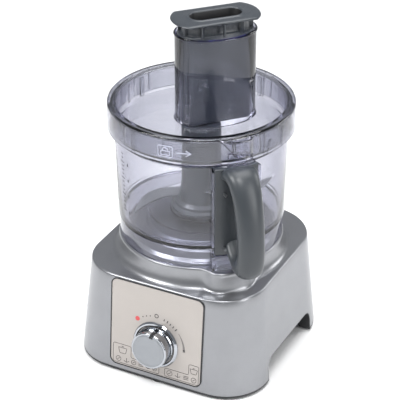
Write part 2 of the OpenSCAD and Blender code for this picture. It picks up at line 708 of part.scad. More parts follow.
module lid() color([0.72, 0.74, 0.82, 0.35]) difference() {
    union() {
        rotate_extrude() polygon(concat(
            [[0, lid_floor - lid_wall], [lid_inner_r + lid_wall - 1, lid_floor - lid_wall],
             [lid_inner_r + lid_wall, lid_floor - 1], [lid_inner_r + lid_wall, 294.4],
             [lid_r - lid_wall, 294.4], [lid_r - lid_wall, 269], [lid_r, 269], [lid_r - 0.4, 294]],
            arc(lid_r - 3.6, lid_top - 3.2, 3.2, 0, 90, 5),
            [[lid_inner_r + 1.5, lid_top], [lid_inner_r, lid_top - 1.5], [lid_inner_r, lid_floor + 1],
             [lid_inner_r - 1, lid_floor], [0, lid_floor]]));
        // Ribs inside the skirt that hold the bowl's rim level
        for (i = [0:11]) rotate([0, 0, 30 * i + 4]) translate([lid_r - 2.6, 0, 283])
            cube([1.6, 1.8, 22], center = true);
    }
    at_chute() translate([0, 0, lid_floor - 6]) linear_extrude(12) oval(chute_a + eps, chute_b + eps);
}

// Lug of the lid over the interlock rod, with a tongue that presses the rod down as the lid turns shut
module lid_tab() color([0.6, 0.62, 0.72, 0.5]) at_handle() difference() {
    union() {
        intersection() {
            rotate([90, 0, 90]) translate([0, 0, rim_r]) linear_extrude(tab_r - rim_r)
                polygon([[-19, 290], [-8, 279.5], [19, 279.5], [19, lid_top - 3], [14, lid_top],
                    [-14, lid_top], [-19, lid_top - 3]]);
            cylinder(r = tab_r, h = 400);
        }
        rotate([90, 0, 90]) translate([0, 0, rim_r - 2]) linear_extrude(tongue_r - rim_r + 2)
            polygon([[-9, rod_top + 1.6], [0, rod_top + 0.3], [9, rod_top + 0.3], [9, 281], [-9, 281]]);
    }
    // The tongue reaches in over the rod, below the lid's skirt and outside the bowl's rim
    cylinder(r = rim_r + 0.5, h = 400);
    translate([0, 0, lid_floor - 1]) cylinder(r1 = lid_r + eps, r2 = lid_r - 0.4 + eps, h = 25);
    translate([0, 0, lid_floor + 23]) cylinder(r = lid_r - 0.4 + eps, h = 60);
}

// Oval tube that food is fed through, with a rolled lip and a flared foot
module feed_chute() color([0.55, 0.57, 0.66, 0.5]) at_chute() difference() {
    union() {
        translate([0, 0, lid_floor - lid_wall]) linear_extrude(chute_top - lid_floor + lid_wall)
            oval(chute_a, chute_b);
        translate([0, 0, lid_floor]) linear_extrude(1.2) oval(chute_a + 1.2, chute_b + 2.2);
        translate([0, 0, lid_floor]) linear_extrude(2.8) oval(chute_a + 0.6, chute_b + 1);
        translate([0, 0, chute_top - 2.6]) linear_extrude(2.6) oval(chute_a + 1, chute_b + 1);
        for (a = [0, 180]) rotate([0, 0, a]) for (y = [-12:6:12])
            translate([chute_a - 0.012 * y * y - 1.5, y, lid_floor]) cylinder(r = 1.7, h = 96);
    }
    translate([0, 0, lid_floor - 10]) linear_extrude(120) oval(chute_a - chute_wall, chute_b - chute_wall);
}

// ---------- Pusher ----------

module pusher() color([0.42, 0.44, 0.46]) at_chute() difference() {
    union() {
        translate([0, 0, pusher_z]) linear_extrude(flange_z - pusher_z)
            oval(chute_a - chute_wall - pusher_gap, chute_b - chute_wall - pusher_gap);
        translate([0, 0, flange_z]) linear_extrude(flange_t) oval(flange_a, flange_b);
        translate([0, 0, flange_z + flange_t]) linear_extrude(1.8) pusher_slot(3);
        // Stops that rest on the chute's lip
        for (a = [0:3]) translate([0, 0, chute_top + 0.05])
            rotate([0, 0, [40, 140, 220, 320][a]]) translate([30, 0, (flange_z - chute_top) / 2])
                cube([12, 2, flange_z - chute_top], center = true);
    }
    translate([0, 0, pusher_z + 3]) linear_extrude(140) pusher_slot(0);
    // The body is moulded hollow from below, round the slot's own wall
    translate([0, 0, pusher_z - 1]) linear_extrude(flange_z - pusher_z - 1.4) difference() {
        oval(chute_a - chute_wall - pusher_gap - pusher_wall, chute_b - chute_wall - pusher_gap - pusher_wall);
        pusher_slot(pusher_wall);
    }
}

// Slot in the top of the pusher, grown by out
module pusher_slot(out) hull() for (s = [-1, 1]) translate([s * 17.5, 0]) circle(11 + out);

housing();
base_plate();
feet();
housing_screws();
cord_gland();
front_panel();
panel_bezel();
knob_ring();
speed_switch();
knob();
knob_cap();
knob_pointer();
knob_shaft();
chassis();
chassis_screws();
motor_stator();
field_coils();
motor_top_bracket();
motor_bearings();
brush_holders();
carbon_brushes();
motor_shaft();
armature();
commutator();
cooling_fan();
motor_pulley();
drive_belt();
spindle_pulley();
drive_spindle();
spindle_bearings();
spindle_seal();
control_board();
board_parts();
safety_switch();
switch_plunger();
knife_hub();
knife_collar();
lower_blade();
upper_blade();
bowl();
handle();
handle_screws();
interlock_rod();
rod_spring();
lid();
lid_tab();
feed_chute();
pusher();
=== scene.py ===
import json
import math

import bmesh
import bpy
from mathutils import Matrix, Vector


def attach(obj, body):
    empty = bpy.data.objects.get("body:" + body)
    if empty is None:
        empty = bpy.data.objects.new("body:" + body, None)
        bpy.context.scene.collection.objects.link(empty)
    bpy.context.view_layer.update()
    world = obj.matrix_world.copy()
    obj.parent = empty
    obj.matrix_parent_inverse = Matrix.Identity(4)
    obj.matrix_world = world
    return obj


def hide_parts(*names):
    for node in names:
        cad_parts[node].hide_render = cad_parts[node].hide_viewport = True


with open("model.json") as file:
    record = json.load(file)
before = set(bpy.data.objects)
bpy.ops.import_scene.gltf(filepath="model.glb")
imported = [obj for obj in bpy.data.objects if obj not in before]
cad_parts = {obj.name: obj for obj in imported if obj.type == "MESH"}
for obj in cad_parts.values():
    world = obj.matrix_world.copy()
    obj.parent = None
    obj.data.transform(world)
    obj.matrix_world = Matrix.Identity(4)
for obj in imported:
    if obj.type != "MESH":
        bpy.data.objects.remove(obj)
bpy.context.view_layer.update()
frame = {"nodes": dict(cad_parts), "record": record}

# Sizes are in millimetres in the same frame as the CAD model, and become metres in mesh_object()
MM = 0.001

# An oval's points are powers of sine and cosine: 1 is an ellipse, and less is squarer
OVAL_POWER = 0.91

# Camera, as the photograph was taken
CAMERA_AZIMUTH = 27.0
CAMERA_ELEVATION = 29.3
CAMERA_DISTANCE = 1659.0
CAMERA_LENS = 136.1
AIM_HEIGHT = 173.3
AIM_SIDE = -1.5

# Base
HALF_W, FRONT, BACK = 112.0, 112.4, 114.0
TOP_HALF_W, TOP_FRONT, TOP_BACK = 102.8, 102.0, 106.5
SHELL_Z, BASE_H = 5.5, 118.3
TOP_SLOPE = 0.02
CORNER_FRONT_R, CORNER_BACK_R = 50.0, 60.0
COLLAR_Z, COVE_R = 141.0, 99.0
LOBE_ANGLE = -43.5
BOSS_Z, BOSS_R = 151.0, 58.0
RECESS_HALF, RECESS_H, RECESS_R = 57.0, 30.0, 20.0
WALL = 2.8

# Panel and knob, which lean back with the front of the base
LEAN = math.atan((FRONT - TOP_FRONT) / (BASE_H - 3.0))
PANEL_H = 104.0
PANEL_MID_Z = BASE_H - 3.0 - PANEL_H / 2 * math.cos(LEAN)
PANEL_MID_Y = -(TOP_FRONT + (BASE_H - PANEL_MID_Z) * math.tan(LEAN) + 0.6)
KNOB_DROP, KNOB_R, KNOB_LEN = 15.0, 22.4, 18.0

# Bowl and handle
BOWL_FOOT_R, BOWL_TOP_R, BOWL_WALL = 89.2, 93.2, 2.6
FLOOR_Z, BOWL_Z, RIM_R = 166.5, 141.3, 96.6
HANDLE_ANGLE = -42.0
BRACKET_HALF, BRACKET_R = 13.5, 103.4

# Lid, chute and pusher
LID_R, LID_FLOOR, LID_TOP, LID_WALL, WELL_R = 100.6, 270.0, 297.7, 2.2, 91.0
CHUTE_A, CHUTE_B, CHUTE_X, CHUTE_Y, CHUTE_TURN = 44.2, 30.4, 5.2, 22.3, 48.0
CHUTE_TOP, CHUTE_WALL = 368.5, 2.2
PUSHER_Z, FLANGE_Z, FLANGE_TOP = 268.6, 382.0, 386.0
FLANGE_A, FLANGE_B = 48.2, 36.0
SLOT_HALF, SLOT_R = 17.5, 11.0

# Knife
HUB_R, HUB_TOP = 21.5, 266.0
LOWER_BLADE_Z, UPPER_BLADE_Z, BLADE_T = 177.0, 195.0, 2.0


# ---------- Shapes ----------

def arc(cx, cy, r, start, end, steps):
    """Points along an arc, from start to end degrees."""
    turns = [math.radians(start + (end - start) * i / steps) for i in range(steps + 1)]
    return [(cx + r * math.cos(t), cy + r * math.sin(t)) for t in turns]


def rounded(points, radius, steps=4, loop=True):
    """A polygon with its corners rounded. radius is one number, or one for each corner."""
    n = len(points)
    radii = radius if isinstance(radius, (list, tuple)) else [radius] * n
    out = []
    for i, p in enumerate(points):
        if radii[i] <= 0 or (not loop and i in (0, n - 1)):
            out.append(tuple(p))
            continue
        p = Vector(p)
        a, b = Vector(points[i - 1]) - p, Vector(points[(i + 1) % n]) - p
        turn = a.angle(b)
        reach = min(radii[i] / math.tan(turn / 2), a.length * 0.49, b.length * 0.49)
        start, end = p + a.normalized() * reach, p + b.normalized() * reach
        for k in range(steps + 1):
            t = k / steps
            out.append(tuple(start * (1 - t) ** 2 + p * 2 * t * (1 - t) + end * t ** 2))
    return out


def oval(a, b, n=96, power=OVAL_POWER):
    """Points of an oval a little squarer than an ellipse."""
    out = []
    for i in range(n):
        t = 2 * math.pi * i / n
        c, s = math.cos(t), math.sin(t)
        out.append((a * math.copysign(abs(c) ** power, c), b * math.copysign(abs(s) ** power, s)))
    return out


def smooth_step(x, start, end):
    """0 before start, 1 after end, and a smooth rise between them."""
    t = min(1.0, max(0.0, (x - start) / (end - start)))
    return t * t * (3 - 2 * t)


def mesh_object(name, points, faces, sharp=35.0):
    """A mesh from points in millimetres, shaded smooth but for edges sharper than sharp degrees."""
    mesh = bpy.data.meshes.new(name)
    mesh.from_pydata([(x * MM, y * MM, z * MM) for x, y, z in points], [], faces)
    bm = bmesh.new()
    bm.from_mesh(mesh)
    bmesh.ops.remove_doubles(bm, verts=bm.verts, dist=0.00001)
    bmesh.ops.recalc_face_normals(bm, faces=bm.faces)
    bm.to_mesh(mesh)
    bm.free()
    mesh.shade_smooth()
    mesh.set_sharp_from_angle(angle=math.radians(sharp))
    obj = bpy.data.objects.new(name, mesh)
    bpy.context.scene.collection.objects.link(obj)
    return obj


def loft(name, rings, closed, caps=True, sharp=35.0):
    """A skin over rings of equally many points. closed joins the last ring to the first."""
    n, m = len(rings), len(rings[0])
    points = [p for ring in rings for p in ring]
    faces = []
    for i in range(n if closed else n - 1):
        a, b = i * m, (i + 1) % n * m
        faces += [(a + j, a + (j + 1) % m, b + (j + 1) % m, b + j) for j in range(m)]
    if caps and not closed:
        faces += [tuple(range(m)), tuple((n - 1) * m + j for j in reversed(range(m)))]
    return mesh_object(name, points, faces, sharp)


def revolve(name, profile, steps, start=0.0, end=360.0, sharp=35.0):
    """A closed profile of (radius, height) turned about +Z, all round or from start to end."""
    full = end - start >= 360.0
    turns = [math.radians(start + (end - start) * i / steps) for i in range(steps if full else steps + 1)]
    rings = [[(r * math.cos(t), r * math.sin(t), z) for r, z in profile] for t in turns]
    return loft(name, rings, closed=full, sharp=sharp)


def prism(name, outline, z0, z1):
    """A flat outline in X and Y made into a solid from z0 to z1."""
    return loft(name, [[(x, y, z) for x, y in outline] for z in (z0, z1)], closed=False)


def placed(obj, matrix):
    """Moves a mesh's own points. The matrix's distances are millimetres."""
    scaled = matrix.copy()
    scaled.translation = matrix.translation * MM
    obj.data.transform(scaled)
    return obj


def join(name, parts):
    """One object made of several, with their materials kept."""
    mesh = bpy.data.meshes.new(name)
    bm = bmesh.new()
    for part in parts:
        slots = {}
        for i, m in enumerate(part.data.materials):
            if m.name not in mesh.materials:
                mesh.materials.append(m)
            slots[i] = mesh.materials.find(m.name)
        before = len(bm.faces)
        bm.from_mesh(part.data)
        bm.faces.ensure_lookup_table()
        for face in bm.faces[before:]:
            face.material_index = slots.get(face.material_index, 0)
        bpy.data.objects.remove(part)
    bm.to_mesh(mesh)
    bm.free()
    obj = bpy.data.objects.new(name, mesh)
    bpy.context.scene.collection.objects.link(obj)
    return obj


def applied(obj):
    """obj with its modifiers made part of its mesh."""
    view = bpy.context.evaluated_depsgraph_get()
    mesh = bpy.data.meshes.new_from_object(obj.evaluated_get(view))
    obj.modifiers.clear()
    obj.data = mesh
    return obj


def cut(obj, cutter):
    """obj less the cutter, which is used up."""
    bool_mod = obj.modifiers.new("cut", "BOOLEAN")
    bool_mod.object, bool_mod.operation, bool_mod.solver = cutter, "DIFFERENCE", "EXACT"
    applied(obj)
    bpy.data.objects.remove(cutter)
    return obj


def bevelled(obj, width, segments=2, angle=35.0):
    """obj with its sharp edges rounded."""
    bevel = obj.modifiers.new("bevel", "BEVEL")
    bevel.width, bevel.segments = width * MM, segments
    bevel.limit_method, bevel.angle_limit = "ANGLE", math.radians(angle)
    bevel.harden_normals = True
    return applied(obj)


def on_panel(x, y):
    """Matrix of a place on the control panel: X to the right, Y up it and Z out of it."""
    lean = Matrix.Rotation(math.pi / 2 - LEAN, 4, "X")
    return Matrix.Translation((0, PANEL_MID_Y, PANEL_MID_Z)) @ lean @ Matrix.Translation((x, y, 0))


def turned(degrees):
    """Matrix of a turn about the upright axis."""
    return Matrix.Rotation(math.radians(degrees), 4, "Z")


AT_HANDLE = turned(HANDLE_ANGLE)
AT_CHUTE = Matrix.Translation((CHUTE_X, CHUTE_Y, 0)) @ turned(CHUTE_TURN)


def add_piece(obj, body, material, replaces=()):
    """Gives a finished piece its material, the body it rides on and the CAD nodes it stands for."""
    if material is not None:
        obj.data.materials.clear()
        obj.data.materials.append(material)
    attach(obj, body)
    if replaces:
        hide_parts(*replaces)
    return obj


# ---------- Materials ----------

def linear(r, g, b):
    """Linear colour of an sRGB colour given in 0 to 255."""
    def channel(v):
        """One channel from sRGB to linear."""
        v /= 255.0
        return v / 12.92 if v <= 0.04045 else ((v + 0.055) / 1.055) ** 2.4
    return (channel(r), channel(g), channel(b), 1.0)


def shade(color, factor):
    """A colour made darker or lighter."""
    return tuple(min(1.0, c * factor) for c in color[:3]) + (1.0,)


def new_material(name):
    """A material with a node tree, its nodes and its Principled node."""
    material = bpy.data.materials.new(name)
    material.use_nodes = True
    nodes = material.node_tree.nodes
    return material, material.node_tree, nodes["Principled BSDF"]


def noise(tree, scale, detail=2.0, stretch=(1, 1, 1)):
    """Fac socket of a noise in the object's own space. scale is in waves a metre."""
    place = tree.nodes.new("ShaderNodeTexCoord")
    mapping = tree.nodes.new("ShaderNodeMapping")
    mapping.inputs["Scale"].default_value = stretch
    tree.links.new(place.outputs["Object"], mapping.inputs["Vector"])
    node = tree.nodes.new("ShaderNodeTexNoise")
    node.inputs["Scale"].default_value = scale
    node.inputs["Detail"].default_value = detail
    tree.links.new(mapping.outputs["Vector"], node.inputs["Vector"])
    return node.outputs["Fac"]


def span(tree, fac, low, high):
    """fac's useful middle range spread over low to high."""
    node = tree.nodes.new("ShaderNodeMapRange")
    node.inputs["From Min"].default_value, node.inputs["From Max"].default_value = 0.3, 0.7
    node.inputs["To Min"].default_value, node.inputs["To Max"].default_value = low, high
    tree.links.new(fac, node.inputs["Value"])
    return node.outputs["Result"]


def two_tone(tree, fac, dark, light):
    """A colour from dark where fac is 0 to light where it is 1."""
    node = tree.nodes.new("ShaderNodeMix")
    node.data_type = "RGBA"
    node.inputs["A"].default_value, node.inputs["B"].default_value = dark, light
    tree.links.new(fac, node.inputs["Factor"])
    return node.outputs["Result"]


def surface(name, color, rough, vary=0.05, broad=45.0, fine=1400.0, stretch=(1, 1, 1),
            metallic=0.0, bump=0.05, coat=0.0):
    """Moulded, painted or machined surface: faint cloudy colour, and fine grain in gloss and relief."""
    material, tree, bsdf = new_material(name)
    cloud = span(tree, noise(tree, broad, 3.0), 0.0, 1.0)
    tree.links.new(two_tone(tree, cloud, shade(color, 1 - vary), shade(color, 1 + vary)),
                   bsdf.inputs["Base Color"])
    grain = noise(tree, fine, 2.0, stretch)
    tree.links.new(span(tree, grain, *rough), bsdf.inputs["Roughness"])
    relief = tree.nodes.new("ShaderNodeBump")
    relief.inputs["Strength"].default_value = bump
    relief.inputs["Distance"].default_value = 0.0002
    tree.links.new(grain, relief.inputs["Height"])
    tree.links.new(relief.outputs["Normal"], bsdf.inputs["Normal"])
    bsdf.inputs["Metallic"].default_value = metallic
    bsdf.inputs["Coat Weight"].default_value = coat
    bsdf.inputs["Coat Roughness"].default_value = 0.12
    return material


def clear_plastic(name, body, edge, absorb, density, spread=0.25):
    """Clear plastic, darker where it is seen edge on, that lets the lamps' light through."""
    material, tree, bsdf = new_material(name)
    facing = tree.nodes.new("ShaderNodeLayerWeight")
    facing.inputs["Blend"].default_value = spread
    haze = span(tree, noise(tree, 35.0, 3.0), 0.96, 1.0)
    tint = tree.nodes.new("ShaderNodeMix")
    tint.data_type, tint.blend_type = "RGBA", "MULTIPLY"
    tint.inputs["Factor"].default_value = 1.0
    tree.links.new(two_tone(tree, facing.outputs["Facing"], body, edge), tint.inputs["A"])
    tree.links.new(haze, tint.inputs["B"])
    tree.links.new(tint.outputs["Result"], bsdf.inputs["Base Color"])
    tree.links.new(span(tree, noise(tree, 160.0), 0.02, 0.05), bsdf.inputs["Roughness"])
    bsdf.inputs["Transmission Weight"].default_value = 1.0
    bsdf.inputs["IOR"].default_value = 1.45
    passing = tree.nodes.new("ShaderNodeBsdfTransparent")
    passing.inputs["Color"].default_value = body
    rays = tree.nodes.new("ShaderNodeLightPath")
    mix = tree.nodes.new("ShaderNodeMixShader")
    tree.links.new(rays.outputs["Is Shadow Ray"], mix.inputs["Fac"])
    tree.links.new(bsdf.outputs["BSDF"], mix.inputs[1])
    tree.links.new(passing.outputs["BSDF"], mix.inputs[2])
    output = tree.nodes["Material Output"]
    tree.links.new(mix.outputs["Shader"], output.inputs["Surface"])
    volume = tree.nodes.new("ShaderNodeVolumeAbsorption")
    volume.inputs["Color"].default_value = absorb
    volume.inputs["Density"].default_value = density
    tree.links.new(volume.outputs["Volume"], output.inputs["Volume"])
    return material


def make_materials():
    """Every finish, by the record's material slot it belongs to or by the piece it is for."""
    along_blade = (1, 12, 12)
    return {
        "silver_plastic": surface("silver_paint", linear(142, 143, 146), vary=0.03, fine=2600.0,
                                  rough=(0.27, 0.36), metallic=0.85, bump=0.04, coat=0.25),
        "panel": surface("champagne_panel", linear(172, 166, 161), vary=0.02, fine=900.0,
                         stretch=(1, 1, 30), rough=(0.3, 0.42), metallic=0.35, bump=0.03),
        "bezel": surface("black_gloss", linear(22, 22, 24), rough=(0.12, 0.2), bump=0.02),
        "chrome": surface("chrome", linear(172, 175, 180), vary=0.01, rough=(0.05, 0.09),
                          metallic=1.0, bump=0.01),
        "knob_face": surface("knob_face", linear(142, 145, 149), vary=0.015, rough=(0.3, 0.36),
                             metallic=0.45, bump=0.03),
        "handle_plastic": surface("grey_plastic", linear(53, 57, 61), vary=0.04, fine=1800.0,
                                  rough=(0.3, 0.4), bump=0.08),
        "pusher_plastic": surface("dark_grey_plastic", linear(52, 56, 61), vary=0.04,
                                  rough=(0.24, 0.32), bump=0.05),
        # Painted shade: the inside of the pusher's slot gets a far darker colour than the pusher, for the
        # shade down the deep well
        "well_painted_shade": surface("well_painted_shade", linear(13, 14, 16), vary=0.04, rough=(0.4, 0.5), bump=0.05),
        "clear_plastic": clear_plastic("clear_plastic", (0.85, 0.855, 0.875, 1), (0.14, 0.14, 0.25, 1),
                                       (0.5, 0.5, 0.75, 1), 22.0),
        "smoke_plastic": clear_plastic("chute_plastic", (0.88, 0.885, 0.915, 1), (0.16, 0.16, 0.28, 1),
                                       (0.5, 0.5, 0.85, 1), 40.0),
        "mark_plastic": surface("lock_mark", linear(176, 178, 192), rough=(0.3, 0.4), bump=0.02),
        "bowl_plastic": clear_plastic("bowl_plastic", (0.93, 0.935, 0.955, 1), (0.12, 0.12, 0.2, 1),
                                      (0.5, 0.5, 0.75, 1), 30.0, spread=0.47),
        "dark_plastic": surface("dark_plastic", linear(38, 39, 41), vary=0.08, rough=(0.5, 0.65),
                                bump=0.12),
        "rubber": surface("rubber", linear(30, 30, 31), vary=0.1, fine=700.0, rough=(0.7, 0.85),
                          bump=0.2),
        "steel": surface("brushed_steel", linear(200, 202, 205), vary=0.03, fine=500.0,
                         stretch=along_blade, rough=(0.22, 0.34), metallic=1.0, bump=0.05),
        "switch_plastic": surface("switch_plastic", linear(52, 52, 56), rough=(0.45, 0.6), bump=0.1),
        "cast": surface("cast_metal", linear(140, 141, 144), vary=0.08, fine=500.0,
                        rough=(0.5, 0.65), metallic=0.9, bump=0.25),
        "laminations": surface("laminations", linear(112, 112, 118), fine=500.0, stretch=(1, 1, 8),
                               rough=(0.4, 0.55), metallic=0.9, bump=0.3),
        "copper": surface("enamelled_copper", linear(184, 110, 62), fine=900.0, stretch=(1, 1, 6),
                          rough=(0.25, 0.4), metallic=0.9, bump=0.3),
        "carbon": surface("carbon", linear(40, 40, 42), rough=(0.6, 0.75), bump=0.1),
        "brass": surface("brass", linear(176, 146, 92), rough=(0.25, 0.4), metallic=1.0),
        "nylon": surface("nylon", linear(222, 219, 208), rough=(0.4, 0.5), bump=0.06),
        "board": surface("solder_mask", linear(38, 92, 58), fine=600.0, rough=(0.25, 0.4), bump=0.1),
        "ink": surface("ink", linear(52, 50, 52), rough=(0.5, 0.6), bump=0.02),
        "red_ink": surface("red_ink", linear(200, 78, 80), rough=(0.4, 0.5), bump=0.02),
        "grey_ink": surface("grey_ink", linear(118, 114, 112), rough=(0.5, 0.6), bump=0.02),
    }


# ---------- Camera, lights and floor ----------

def make_camera():
    """The camera, placed and aimed as the photograph was taken."""
    az, el = math.radians(CAMERA_AZIMUTH), math.radians(CAMERA_ELEVATION)
    aim = Vector((math.cos(az), math.sin(az), 0)) * AIM_SIDE + Vector((0, 0, AIM_HEIGHT))
    away = Vector((math.sin(az) * math.cos(el), -math.cos(az) * math.cos(el), math.sin(el)))
    data = bpy.data.cameras.new("camera")
    data.lens, data.sensor_width, data.clip_start = CAMERA_LENS, 36.0, 0.01
    camera = bpy.data.objects.new("camera", data)
    camera.location = (aim + away * CAMERA_DISTANCE) * MM
    camera.rotation_euler = (math.pi / 2 - el, 0, az)
    bpy.context.scene.collection.objects.link(camera)
    bpy.context.scene.camera = camera


def softbox(name, place, size, watts):
    """A rectangular lamp, size wide and high, aimed at the middle of the object."""
    data = bpy.data.lights.new(name, "AREA")
    data.shape, data.energy = "RECTANGLE", watts
    data.size, data.size_y = size
    lamp = bpy.data.objects.new(name, data)
    lamp.location = place
    lamp.rotation_euler = (Vector((0, 0, 0.17)) - Vector(place)).to_track_quat("-Z", "Y").to_euler()
    bpy.context.scene.collection.objects.link(lamp)


def make_stage():
    """A plain pale floor, soft lamps and a pale world."""
    world = bpy.data.worlds.new("world")
    world.use_nodes = True
    backdrop = world.node_tree.nodes["Background"]
    backdrop.inputs["Color"].default_value = (0.9, 0.93, 0.97, 1)
    backdrop.inputs["Strength"].default_value = 0.4
    bpy.context.scene.world = world
    bpy.context.scene.view_settings.view_transform = "Standard"
    floor = mesh_object("floor", [(-6000, -6000, 0), (6000, -6000, 0), (6000, 6000, 0), (-6000, 6000, 0)],
                        [(0, 1, 2, 3)])
    floor.data.materials.append(surface("floor", (0.86, 0.86, 0.86, 1), vary=0.005, broad=3.0,
                                        rough=(0.75, 0.85), bump=0.0))
    softbox("key", (-0.9, -1.2, 1.5), (0.9, 0.6), 26.0)
    softbox("top", (0.1, 0.2, 1.7), (1.4, 1.4), 26.0)
    softbox("front", (0.45, -0.95, 1.85), (0.7, 0.3), 14.0)
    softbox("side", (1.6, -0.4, 0.8), (0.5, 1.2), 10.0)
    softbox("back", (1.3, 1.4, 0.9), (0.8, 0.8), 9.0)


# ---------- Base ----------

def bulge(x, half_w):
    """How far the front edge curves back at a distance x from the middle."""
    return 5.0 * (x / half_w) ** 4


def base_outline(half_w, front, back, front_r, back_r):
    """Outline of the base: a bulged front, straight sides and round corners."""
    flat = half_w - front_r
    start_y = -front + front_r + bulge(flat, half_w)
    right = [(flat * i / 12, -front + bulge(flat * i / 12, half_w)) for i in range(13)]
    right += arc(flat, start_y, front_r, -84, 0, 16)
    right += [(half_w, start_y + (back - back_r - start_y) * i / 14) for i in range(1, 14)]
    right += arc(half_w - back_r, back - back_r, back_r, 0, 90, 18)
    right += [((half_w - back_r) * (1 - i / 8), back) for i in range(1, 9)]
    return right + [(-x, y) for x, y in reversed(right[1:-1])]


def base_at(z, inset=0.0):
    """Outline of the base's tapered skin at a height, some way in from the skin."""
    k = (z - 3.0) / (BASE_H - 3.0)
    return base_outline(HALF_W + (TOP_HALF_W - HALF_W) * k - inset, FRONT + (TOP_FRONT - FRONT) * k - inset,
                        BACK + (TOP_BACK - BACK) * k - inset,
                        CORNER_FRONT_R - inset, CORNER_BACK_R - inset)


def top_z(y):
    """Height of the base's top, which rises a little to the back."""
    return BASE_H + TOP_SLOPE * (y + TOP_FRONT)


def lobe(angle):
    """1 across the collar's lobe under the handle, falling smoothly to 0 on both sides of it."""
    away = (math.degrees(angle) - LOBE_ANGLE + 180) % 360 - 180
    return math.exp(-abs(away / 15.5) ** 5)


def cove_point(angle, s):
    """A point of the collar's coved side: s is 0 on the base's top and 1 at the collar's edge."""
    turn = s * math.pi / 2
    r = COVE_R - 8.4 * math.sin(turn) + lobe(angle) * (9.0 + 6.0 * s)
    foot = top_z(r * math.sin(angle))
    return r * math.cos(angle), r * math.sin(angle), foot + (COLLAR_Z - 2.4 - foot) * (1 - math.cos(turn))


def make_housing(materials):
    """Silver shell: tapered skin, coved collar with its lobe, middle boss and hand recesses."""
    edge_r = 2.2
    top = base_at(BASE_H, edge_r)
    angles = [math.atan2(y, x) for x, y in top]
    edge_z = [top_z(y) - edge_r for x, y in top]
    rings = []
    for i in range(13):
        t = i / 12
        outline = base_at(SHELL_Z + (BASE_H - edge_r - SHELL_Z) * t)
        rings.append([(x, y, SHELL_Z + (z - SHELL_Z) * t) for (x, y), z in zip(outline, edge_z)])
    for i in range(1, 6):
        turn = math.radians(18 * i)
        outline = base_at(BASE_H, edge_r * (1 - math.cos(turn)))
        rings.append([(x, y, z + edge_r * math.sin(turn)) for (x, y), z in zip(outline, edge_z)])
    foot = [cove_point(a, 0) for a in angles]
    for i in range(1, 6):
        t = i / 5
        ring = [(x + (fx - x) * t, y + (fy - y) * t) for (x, y), (fx, fy, _) in zip(top, foot)]
        rings.append([(x, y, top_z(y)) for x, y in ring])
    rings += [[cove_point(a, i / 14) for a in angles] for i in range(1, 15)]
    for turn in (30, 60, 90):
        t = math.radians(turn)
        ring = [COVE_R - 8.4 + 15 * lobe(a) - 2 * (1 - math.cos(t)) for a in angles]
        rings.append([(r * math.cos(a), r * math.sin(a), COLLAR_Z - 2.4 + 2.4 * math.sin(t))
                      for r, a in zip(ring, angles)])
    inner = rounded([(88.0, COLLAR_Z), (78, COLLAR_Z), (75, COLLAR_Z + 4), (62, COLLAR_Z + 5),
                     (BOSS_R, BOSS_Z), (6.6, BOSS_Z)], [0, 1, 1, 2, 2, 0], loop=False)
    rings += [[(r * math.cos(a), r * math.sin(a), z) for a in angles] for r, z in inner]
    shell = loft("base_shell", rings, closed=False, caps=False, sharp=50)
    solid = shell.modifiers.new("wall", "SOLIDIFY")
    solid.thickness, solid.offset, solid.use_even_offset = WALL * MM, -1.0, True
    applied(shell)
    recess = [(-RECESS_HALF, -1), (RECESS_HALF, -1), (RECESS_HALF, RECESS_H), (-RECESS_HALF, RECESS_H)]
    recess = rounded(recess, [0, 0, RECESS_R, RECESS_R], steps=10)
    stand = Matrix(((0, 0, 1, 0), (1, 0, 0, 0), (0, 1, 0, 0), (0, 0, 0, 1)))
    for x in (84.0, -125.0):
        cutter = placed(prism("recess", recess, 0, 41), Matrix.Translation((x, 0, 0)) @ stand)
        cut(shell, cutter)
    cut(shell, placed(prism("inlet", arc(0, 0, 8.0, 0, 345, 23), -12, 20),
                      Matrix.Translation((45, BACK - 8, 22)) @ Matrix.Rotation(-math.pi / 2, 4, "X")))
    shell.data.shade_smooth()
    shell.data.set_sharp_from_angle(angle=math.radians(35))
    add_piece(shell, "base", materials["silver_plastic"], ["housing"])


def make_base_trim(materials):
    """Dark strip under the shell, which also lines the edge of each hand recess."""
    low, high = base_at(3.0, 0.25), base_at(SHELL_Z)
    inner = base_at(3.0, 2.0)
    z0, z1 = 3.0, SHELL_Z - 0.02
    rings = [[(x, y, z) for x, y in ring] for ring, z in
             ((inner, z1), (inner, z0 + 0.3), (base_at(3.0, 0.6), z0), (low, z0 + 0.5), (high, z1))]
    strip = loft("strip", rings, closed=True)
    strip = cut(strip, prism("gap", [(-130, 1 - RECESS_HALF), (130, 1 - RECESS_HALF),
                                     (130, RECESS_HALF - 1), (-130, RECESS_HALF - 1)], 0, 12))
    parts = [strip]
    for side in (-1, 1):
        outer = rounded([(-RECESS_HALF, z0), (-RECESS_HALF, RECESS_H), (RECESS_HALF, RECESS_H),
                         (RECESS_HALF, z0)], [0, RECESS_R, RECESS_R, 0], steps=10, loop=False)
        inset = 1.4
        lining = rounded([(inset - RECESS_HALF, z0), (inset - RECESS_HALF, RECESS_H - inset),
                          (RECESS_HALF - inset, RECESS_H - inset), (RECESS_HALF - inset, z0)],
                         [0, RECESS_R - inset, RECESS_R - inset, 0], steps=10, loop=False)
        rings = []
        for (y, z), (yi, zi) in zip(outer, lining):
            x = HALF_W - 0.25 + (TOP_HALF_W - HALF_W) * (z - 3.0) / (BASE_H - 3.0)
            rings.append([(side * x, y, z), (side * x, yi, zi),
                          (side * (x - 14), yi, zi), (side * (x - 14), y, z)])
        parts.append(loft("lining", rings, closed=False))
    trim = bevelled(join("base_trim", parts), 0.3)
    add_piece(trim, "base", materials["dark_plastic"])


# ---------- Control panel and knob ----------

# A printed mark starts a little under the surface that it is on and stands a little proud of it
MARK_SUNK, MARK_PROUD = 0.05, 0.12


